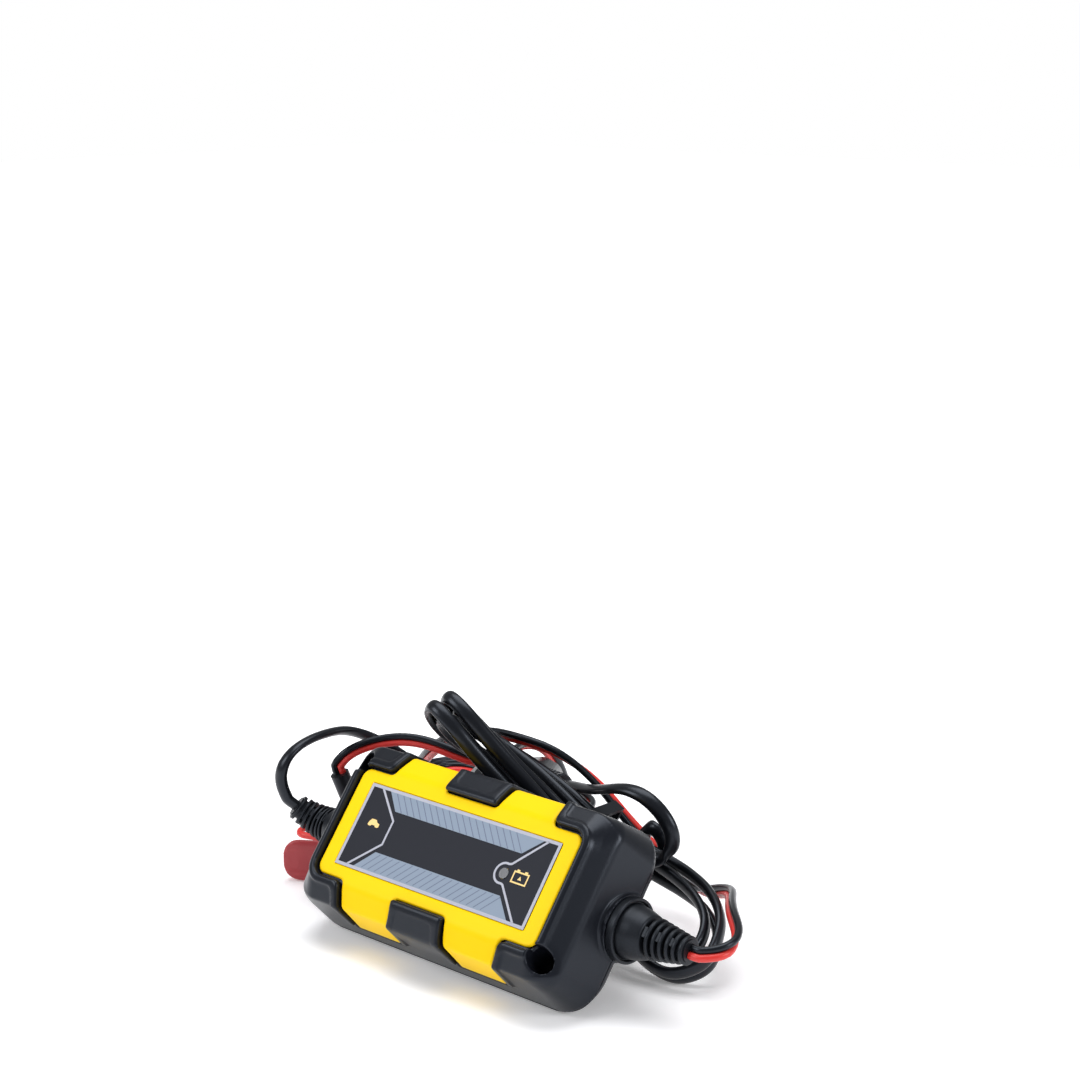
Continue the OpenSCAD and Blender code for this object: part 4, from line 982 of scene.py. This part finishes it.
def face_plate(u, v, n):
    top = strip(v, n)
    d = most(most(top, -top - PLATE_SKIN, 0.3), outline(u, v) + PLATE_GAP, 0.9)
    d = most(d, PLATE_LOW - n, 0.6)
    window = np.maximum(box_corner(np.abs(u) - WINDOW_U, np.abs(v) - WINDOW_V, 0.8), WINDOW_AT - n)
    return most(d, -window, 0.3)


print("the pocket is", POCKET_GAP + PLATE_GAP, "mm wider than the plate all round")

# %% [markdown]
# The three mouldings stand for their CAD nodes. The step of each net is as fine as its edges need. Faces
# that nobody sees, on the parting line and under the plate, are dropped, and a lot of points with them.

# %% The two shells and the plate
JOINT_SKIN, SHOWN_SKIN = 0.03, 1.2
moulded("front_moulding", front_shell, (-62.5, -32.5, -24), (62.5, 32.5, 3), 0.45, leaned, "case_plastic",
        ["front_shell"], keep=lambda u, v, n: n > PART_AT + JOINT_SKIN)
moulded("rear_moulding", rear_shell, (-62.5, -32.5, -37), (62.5, 32.5, -22), 0.5, leaned, "case_plastic",
        ["rear_shell"], keep=lambda u, v, n: n < PART_AT - JOINT_SKIN)
moulded("plate_moulding", face_plate, (-50, -31.5, -16.5), (50, 31.5, 1), 0.4, leaned, "yellow_plastic",
        ["face_plate"], keep=lambda u, v, n: strip(v, n) > -SHOWN_SKIN)

# %% [markdown]
# ## Label
# The label film is printed with a pale border, two hatched bands, a stroke at each end and two small
# pictures. It could be an image on a plane, but thin flat shapes just above the film stay sharp at any
# size. The places for a name, a type number and ratings are left bare.

# %% Printed shapes


def sheet(name, outlines, high, material):
    """Thin flat shapes on the face, each from its outline."""
    points, faces = [], []
    for line in outlines:
        x, y = np.array(line, float).T
        line = list(line) if (x * np.roll(y, -1) - y * np.roll(x, -1)).sum() > 0 else list(line)[::-1]
        first, n = len(points), len(line)
        points += [(u, v, high) for u, v in line] + [(u, v, high - 0.1) for u, v in line]
        faces += [[first + i for i in range(n)], [first + n + i for i in reversed(range(n))]]
        faces += [[first + i, first + n + i, first + n + (i + 1) % n, first + (i + 1) % n] for i in range(n)]
    return piece(name, leaned(points), faces, FINISH[material])


def stroke(line, wide):
    """Outline of a stroke of even width along a line."""
    p = np.array(line, float)
    step = np.diff(p, axis=0)
    step /= np.linalg.norm(step, axis=1)[:, None]
    side = np.stack([-step[:, 1], step[:, 0]], 1)
    mitre = np.vstack([side[:1], side[:-1] + side[1:], side[-1:]])
    mitre[1:-1] *= 2 / (mitre[1:-1] ** 2).sum(1)[:, None]
    return np.vstack([p + mitre * wide / 2, (p - mitre * wide / 2)[::-1]])


HALF_LABEL_U, HALF_LABEL_V, INNER_U, INNER_V = 42.5, 14.75, 41.4, 13.7
BAND_HIGH, INK_HIGH, STROKE_WIDE, LINE_WIDE = 0.04, 0.05, 0.75, 0.5
TOP_BAND = [(-33.4, 13.7), (35.5, 13.7), (29.1, 7.7), (-27.7, 7.7)]
LOW_BAND = [(-27.7, -7.1), (28.4, -7.1), (34.8, -13.7), (-34.1, -13.7)]
LIGHT_U, LIGHT_R = 25.7, 3.4
border = [(HALF_LABEL_U, HALF_LABEL_V), (-HALF_LABEL_U, HALF_LABEL_V), (-HALF_LABEL_U, -HALF_LABEL_V),
          (HALF_LABEL_U, -HALF_LABEL_V)]
inner = [(INNER_U, INNER_V), (-INNER_U, INNER_V), (-INNER_U, -INNER_V), (INNER_U, -INNER_V)]
sheet("label_border", [[border[i - 1], border[i], inner[i], inner[i - 1]] for i in range(4)], INK_HIGH,
      "label_silver")
sheet("label_bands", [TOP_BAND, LOW_BAND], BAND_HIGH, "label_band")
bulge = [(LIGHT_U + LIGHT_R * math.cos(a), LIGHT_R * math.sin(a)) for a in np.radians(np.arange(78, 283, 12))]
left_stroke = [(-37, 13.8), (-26.6, 4.4), (-26.6, -4.0), (-37.2, -13.8)]
right_stroke = [(37.2, 13.8), (27.4, 3.6), *bulge, (27.4, -3.6), (37.4, -13.8)]
sheet("label_strokes", [stroke(line, STROKE_WIDE) for line in (left_stroke, right_stroke)], INK_HIGH,
      "label_silver")
battery = [(32.75, 1.8), (29.8, 1.8), (29.8, -1.7), (35.7, -1.7), (35.7, 1.8), (32.75, 1.8)]
left_pole = [(30.5, 2), (31.7, 2), (31.7, 2.6), (30.5, 2.6)]
right_pole = [(33.8, 2), (35, 2), (35, 2.6), (33.8, 2.6)]
warning_triangle = [(32, -0.6), (33.5, -0.6), (32.75, 0.7)]
vehicle = [(-36.7, 1), (-36.2, 0.6), (-35.2, 0.6), (-34.8, 1.1), (-33.4, 1.1), (-33, 0.6), (-32, 0.6),
           (-31.6, 1), (-31.7, 2), (-32.9, 2.3), (-33.6, 3.1), (-35.6, 3.1), (-36.4, 2.1)]
pictures = [stroke(battery, LINE_WIDE), left_pole, right_pole, warning_triangle, vehicle]
sheet("label_pictures", pictures, INK_HIGH, "label_cream")
print("printed shapes on a label of", 2 * HALF_LABEL_U, "by", 2 * HALF_LABEL_V, "mm")

# %% [markdown]
# The hatching is one thin bar repeated at an even pitch and slanted, once for each band, so a small tree
# makes it. Its ink is set inside the tree, because instances lose the object's own material.

# %% Hatching


def hatch_tree():
    tree, add, link = tree_with("Hatching", [("Count", "Int"), ("Pitch", "Float"), ("Length", "Float"),
                                             ("Slant", "Float"), ("Ink", "Material")])
    given, out = add("NodeGroupInput"), add("NodeGroupOutput")
    row, bar, put, real, ink = (add("GeometryNode" + k) for k in ("MeshLine", "MeshCube", "InstanceOnPoints",
                                                                  "RealizeInstances", "SetMaterial"))
    link(given.outputs["Count"], row.inputs["Count"])
    link(vector(add, link, x=given.outputs["Pitch"]), row.inputs["Offset"])
    link(vector(add, link, x=0.3, y=given.outputs["Length"], z=0.1), bar.inputs["Size"])
    link(row.outputs["Mesh"], put.inputs["Points"])
    link(bar.outputs["Mesh"], put.inputs["Instance"])
    link(vector(add, link, z=given.outputs["Slant"]), put.inputs["Rotation"])
    link(put.outputs["Instances"], real.inputs["Geometry"])
    link(real.outputs["Geometry"], ink.inputs["Geometry"])
    link(given.outputs["Ink"], ink.inputs["Material"])
    link(ink.outputs["Geometry"], out.inputs["Geometry"])
    return tree


HATCH = hatch_tree()
for name, at, slant in (("hatching_top", (-27.6, 10.7), 43), ("hatching_low", (-27.9, -10.4), -43)):
    o = piece(name, [[0, 0, 0]], [], FINISH["label_stroke"], body=None)
    grow(o, HATCH, {"Count": 19, "Pitch": 3.0, "Length": 7.9, "Slant": math.radians(slant),
                    "Ink": FINISH["label_stroke"]})
    moved(o, lambda p: leaned(p + [at[0], at[1], 0.01]))
    settle(o, "charger")
    print(name, len(o.data.polygons), "faces")

# %% [markdown]
# ## Strain reliefs
# A strain relief keeps a lead from kinking where it leaves the casing. It is one rubber moulding: a lip and
# a cone, then ribs with bridges between them, each a quarter turn on from the last. The lip and the cone
# are turned from a profile, as on a lathe. A Screw modifier would do that too, but closed ends are simpler
# to add in code.

# %% Turned root of a relief


def rounded(points, r):
    """An open outline with its corners rounded."""
    p, out = np.array(points, float), [points[0]]
    for a, b, c in zip(p[:-2], p[1:-1], p[2:]):
        cut = min(r, np.linalg.norm(a - b) / 2.2, np.linalg.norm(c - b) / 2.2)
        u, v = b + unit(a - b) * cut, b + unit(c - b) * cut
        out += [u * (1 - t) ** 2 + 2 * b * t * (1 - t) + v * t * t for t in (0, 0.25, 0.5, 0.75, 1)]
    return np.array([*out, points[-1]])


def turned(profile, sides=72):
    """Points and faces of a profile of radii and rising heights, turned round Z and closed at both ends."""
    ring = 2 * np.pi * np.arange(sides) / sides
    points = np.stack([np.outer(profile[:, 0], np.cos(ring)), np.outer(profile[:, 0], np.sin(ring)),
                       np.repeat(profile[:, 1:], sides, 1)], -1).reshape(-1, 3)
    rows = [(i * sides, k, (k + 1) % sides) for i in range(len(profile) - 1) for k in range(sides)]
    faces = [(row + k, row + after, row + sides + after, row + sides + k) for row, k, after in rows]
    return points, [*faces, range(sides - 1, -1, -1), range(len(points) - sides, len(points))]


LIP = [(8, 0.12), (10.6, 0.12), (10.6, 3.0), (9.5, 3.0), (9.3, 2.1), (8.95, 2.1), (8.2, 6.5), (7.1, 10.3),
       (6.2, 10.7), (4.2, 10.9), (4.15, 11.1)]
lip_points, lip_faces = turned(rounded(LIP, 0.6))
print("root of a relief:", len(lip_faces), "faces")

# %% [markdown]
# The ribs shrink evenly along the core. One ring and one bridge are drawn for a rib of radius 1. The tree
# sets both on each point of a line, scales them by their place in the row, gives each bridge a quarter turn
# more than the last, and joins them with a plain core.

# %% Parts of the ribs' tree
RIB_BAR = (1.9, 0.5, 0.18)


def ring_shape(add, link):
    """A ring of radius 1 with a rounded section."""
    path, across, section, corner, ring = (add("GeometryNode" + k) for k in (
        "CurvePrimitiveCircle", "SetCurveNormal", "CurvePrimitiveQuadrilateral", "FilletCurve",
        "CurveToMesh"))
    path.inputs["Resolution"].default_value = 56
    path.inputs["Radius"].default_value = 0.75
    across.mode = "Z_UP"
    section.inputs["Width"].default_value = 0.5
    section.inputs["Height"].default_value = 0.225
    corner.mode = "POLY"
    corner.inputs["Count"].default_value = 4
    corner.inputs["Radius"].default_value = 0.07
    link(path.outputs["Curve"], across.inputs["Curve"])
    link(across.outputs["Curve"], ring.inputs["Curve"])
    link(section.outputs["Curve"], corner.inputs["Curve"])
    link(corner.outputs["Curve"], ring.inputs["Profile Curve"])
    return ring.outputs["Mesh"]


def row_of(add, link, shape, start, count, pitch, size, turn):
    """The shape set on each point of an upright line."""
    row, put = add("GeometryNodeMeshLine"), add("GeometryNodeInstanceOnPoints")
    row.inputs["Start Location"].default_value = (0, 0, start)
    link(count, row.inputs["Count"])
    link(vector(add, link, z=pitch), row.inputs["Offset"])
    link(row.outputs["Mesh"], put.inputs["Points"])
    link(shape, put.inputs["Instance"])
    link(size, put.inputs["Scale"])
    link(vector(add, link, z=turn), put.inputs["Rotation"])
    return put.outputs["Instances"]


def core_shape(add, link, radius, depth):
    """A plain cylinder that stands on the origin."""
    middle, lift = add("GeometryNodeMeshCylinder"), add("GeometryNodeTransform")
    middle.inputs["Side Segments"].default_value = 24
    link(radius, middle.inputs["Radius"])
    link(depth, middle.inputs["Depth"])
    link(middle.outputs["Mesh"], lift.inputs["Geometry"])
    link(vector(add, link, z=worked(add, link, "MULTIPLY", depth, 0.5)), lift.inputs["Translation"])
    return lift.outputs["Geometry"]


print("a bridge is", RIB_BAR[0], "rib radii long")

# %% [markdown]
# The tree itself then only has to say what is scaled and turned by what. A Map Range node takes the place
# in the row to the rib's radius.

# %% Tree of ribs and bridges


def rib_tree():
    tree, add, link = tree_with("Ribs and bridges", [
        ("Count", "Int"), ("Pitch", "Float"), ("First radius", "Float"), ("Last radius", "Float"),
        ("Core radius", "Float"), ("Rubber", "Material")])
    given, out = add("NodeGroupInput"), add("NodeGroupOutput")
    join, real, rubber = (add("GeometryNode" + k) for k in (
        "JoinGeometry", "RealizeInstances", "SetMaterial"))
    count, pitch = given.outputs["Count"], given.outputs["Pitch"]
    index, radius, bar = (add(k) for k in (
        "GeometryNodeInputIndex", "ShaderNodeMapRange", "GeometryNodeMeshCube"))
    bar.inputs["Size"].default_value = RIB_BAR
    link(index.outputs[0], radius.inputs["Value"])
    link(worked(add, link, "SUBTRACT", count, 1), radius.inputs["From Max"])
    link(given.outputs["First radius"], radius.inputs["To Min"])
    link(given.outputs["Last radius"], radius.inputs["To Max"])
    size = vector(add, link, radius.outputs["Result"], radius.outputs["Result"], 6)
    turns = worked(add, link, "MULTIPLY", index.outputs[0], math.pi / 2)
    for shape, start, turn in ((ring_shape(add, link), 1.675, 0.0), (bar.outputs["Mesh"], 0.5, turns)):
        link(row_of(add, link, shape, start, count, pitch, size, turn), join.inputs["Geometry"])
    depth = worked(add, link, "ADD", worked(add, link, "MULTIPLY", count, pitch), 0.5)
    link(core_shape(add, link, given.outputs["Core radius"], depth), join.inputs["Geometry"])
    link(join.outputs["Geometry"], real.inputs["Geometry"])
    link(real.outputs["Geometry"], rubber.inputs["Geometry"])
    link(given.outputs["Rubber"], rubber.inputs["Material"])
    link(rubber.outputs["Geometry"], out.inputs["Geometry"])
    return tree


RIBS = rib_tree()
print("tree:", RIBS.name)

# %% [markdown]
# Both reliefs use the same root and the same tree, one rib more on the mains side. Each is made upright and
# then taken to its own place by straight() or bent(), which every point of the mesh goes through.

# %% The two reliefs
RUBBER = FINISH["lead_rubber"]
RIB_SIZES = {"Pitch": RIB_PITCH, "First radius": 6.7, "Last radius": 4.6, "Core radius": 3.6,
             "Rubber": RUBBER}
reliefs = {}
for name, count, place in (("mains", BEND_N, bent), ("output", RIB_N, straight)):
    root = piece(name + "_relief_root", place(lip_points - [0, 0, RIBS_FROM]), lip_faces, RUBBER,
                 stands_for=[name + "_strain_relief"], slot="lead_rubber")
    ribs = piece(name + "_relief_ribs", [[0, 0, 0]], [], RUBBER, body=None)
    grow(ribs, RIBS, {"Count": count, **RIB_SIZES})
    reliefs[name] = [root, settle(moved(ribs, place), "charger", [name + "_strain_relief"], "lead_rubber")]
    print(name, "relief:", count, "ribs,", len(ribs.data.polygons), "faces")

# %% [markdown]
# ## Clamps
# A spring clamp has two plastic grips that turn on one pin. A grip is a bent sheet with a flange on each
# side and an ear round the pin. It could be bent from a plane with a Solidify modifier, but the rounded end
# and the bored ears come more simply from a field. One outline makes all four, turned and mirrored. The
# moving grips ride on their own bodies, so a clamp still opens when its joint turns.

# %% The four grips
BORE_R, LOOSE_BORE_R, EAR_R, FLANGE_THICK, END_R, EAR_IN = 1.52, 1.65, 4.5, 1.8, 7, 2
GRIP_OUT = [(-42, -14.2), (-36, -13.8), (-24, -12), (-6, -9.5), (10, -8.6)]
GRIP_IN = [(10, -6.6), (-6, -7.5), (-24, -10), (-36, -11.8), (-42, -12.2)]
FLANGE = [(10, -4), (4.5, -1), (0, -1), (-6, -2.6), (-24, -7.2), (-42, -10.4)]


def within(points, x, y):
    """Distance to a closed outline, negative inside it."""
    near, inner = 1e9, np.zeros(np.broadcast(x, y).shape, bool)
    for (ax, ay), (bx, by) in zip(points, points[1:] + points[:1]):
        ex, ey, wx, wy = bx - ax, by - ay, x - ax, y - ay
        t = np.clip((wx * ex + wy * ey) / (ex * ex + ey * ey), 0, 1)
        near = np.minimum(near, (wx - ex * t) ** 2 + (wy - ey * t) ** 2)
        left, up, down = ex * wy - ey * wx > 0, y >= ay, y < by
        inner = inner ^ ((up & down & left) | ~(up | down | left))
    return np.where(inner, -1, 1) * np.sqrt(near)


def grip(ear, bore):
    def field(x, y, z):
        mid = np.abs(z - CLAMP_W / 2)
        d = most(within(GRIP_OUT + GRIP_IN, x, y), mid - CLAMP_W / 2, 1.6)
        side = least(within(GRIP_OUT + FLANGE, x, y), np.hypot(x, y) - EAR_R, 1.0)
        reach = CLAMP_W / 2 - ear
        d = least(d, most(side, np.maximum(mid - reach, reach - FLANGE_THICK - mid), 0.7), 0.9)
        d = most(d, box_corner(mid - CLAMP_W / 2, -HANDLE - x, END_R), 1.0)
        return most(d, bore - np.hypot(x, y), 0.2)
    return field


def clamp_place(at, turn, flip):
    a = math.radians(turn)

    def place(p):
        x, y = p[..., 0], p[..., 1] * flip
        c, s = math.cos(a), math.sin(a)
        return np.stack([x * c - y * s, x * s + y * c, p[..., 2]], -1) + at
    return place


grips = {}
for k, (at, turn, flip, _, _) in CLAMPS.items():
    grips[k] = []
    for half, ear, bore, way, body in (("fixed", 0, BORE_R, 1, "charger"),
                                       ("moving", EAR_IN, LOOSE_BORE_R, -1, k + "_clamp_half")):
        put = clamp_place(at, turn, flip * way)
        grips[k].append(moulded(f"{k}_{half}_handle", grip(ear, bore), (-44, -16, -1.5), (11.5, 6, 17.5), 0.5,
                                put, k + "_grip_plastic", [f"{k}_{half}_grip"], body=body))

# %% [markdown]
# ## Light and ground
# The studio is a pale floor, a white sky and three large soft boxes, which give broad highlights with soft
# ends on the black plastic. A sky bright enough to look white would wash the black out, so a Light Path
# node shows the camera a white sky while the surfaces are lit by a dimmer one.

# %% Soft boxes and sky


def soft_box(name, at, towards, size, power):
    lamp = bpy.data.lights.new(name, "AREA")
    lamp.shape, lamp.size, lamp.energy = "SQUARE", size, power
    o = bpy.data.objects.new(name, lamp)
    turn = (Vector(at) - Vector(towards)).to_track_quat("Z", "Y")
    o.matrix_world = Matrix.Translation(at) @ turn.to_matrix().to_4x4()
    bpy.context.scene.collection.objects.link(o)


soft_box("top_box", (-0.1, 0.1, 0.9), (0, 0, 0), 0.7, 6.5)
soft_box("key_box", (-0.5, -0.7, 0.6), (0, 0, 0.03), 0.45, 4)
soft_box("side_box", (0.9, 0.15, 0.45), (0, 0, 0.03), 0.35, 3.6)
world = bpy.data.worlds.new("studio")
bpy.context.scene.world = world
world.use_nodes = True
nodes, link = world.node_tree.nodes, world.node_tree.links.new
path_kind, seen, lit, mix = (nodes.new("ShaderNode" + k) for k in (
    "LightPath", "Background", "Background", "MixShader"))
for sky, colour, strength in ((seen, (1, 1, 1, 1), 1.0), (lit, (0.95, 0.97, 1, 1), 0.36)):
    sky.inputs["Color"].default_value = colour
    sky.inputs["Strength"].default_value = strength
link(path_kind.outputs["Is Camera Ray"], mix.inputs["Fac"])
link(lit.outputs["Background"], mix.inputs[1])
link(seen.outputs["Background"], mix.inputs[2])
link(mix.outputs["Shader"], nodes["World Output"].inputs["Surface"])
bpy.context.scene.view_settings.view_transform = "Standard"
print("lights:", [o.name for o in bpy.data.objects if o.type == "LIGHT"])

# %% [markdown]
# The ground catches the charger's soft shadow and then has to fade into the white sky, with no line between
# them. Its material therefore gives off light of its own, little under the charger and more with the
# distance.

# %% Ground
GROUND_HALF = 4000
bright = finish("ground", (250, 250, 252), 0.6, shine=0.2)
nodes, link = bright.node_tree.nodes, bright.node_tree.links.new
place, far, glow = (nodes.new("ShaderNode" + k) for k in ("TexCoord", "VectorMath", "MapRange"))
far.operation = "LENGTH"
for label, value in (("From Min", 0.12), ("From Max", 0.5), ("To Min", 0.2), ("To Max", 1.0)):
    glow.inputs[label].default_value = value
shader = nodes["Principled BSDF"]
shader.inputs["Emission Color"].default_value = (1, 1, 1, 1)
link(place.outputs["Object"], far.inputs[0])
link(far.outputs["Value"], glow.inputs["Value"])
link(glow.outputs["Result"], shader.inputs["Emission Strength"])
corners = [[x * GROUND_HALF, y * GROUND_HALF, 0] for x, y in ((-1, -1), (1, -1), (1, 1), (-1, 1))]
ground = piece("ground", corners, [[0, 1, 2, 3]], bright, body=None)
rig.stage(ground)
print("ground:", 2 * GROUND_HALF * MM, "m wide")

# %% [markdown]
# ## Cords and a last look
# Each free lead is declared with its length, its stiffness and the pieces on it, so that whoever reuses the
# model can lay it another way. The box of the finished model is then written to extents.json beside the CAD box.

nodes = frame["nodes"]
declare(mains_lead, mains_path, MAINS_HALF, "plug", "medium", "coiled",
        [nodes["plug_body"], nodes["plug_pins"], nodes["hank_tie"], *reliefs["mains"]])
declare(output_lead, output_path, TWIN_HALF, "fitting", "limp", "coiled",
        [nodes["lead_sleeve"], *reliefs["output"]])
for k, o in cores.items():
    declare(o, core_paths[k], CORE_HALF, "tool", "limp", "loose",
            [*grips[k], *(nodes[k + "_" + n] for n in ("fixed_jaw", "moving_jaw", "pin", "spring"))])
last_bounds = [list(v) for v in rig.bounds()]
json.dump({"frame": first_bounds, "model": last_bounds}, open("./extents.json", "w"))
print("box before and after:", first_bounds, last_bounds)
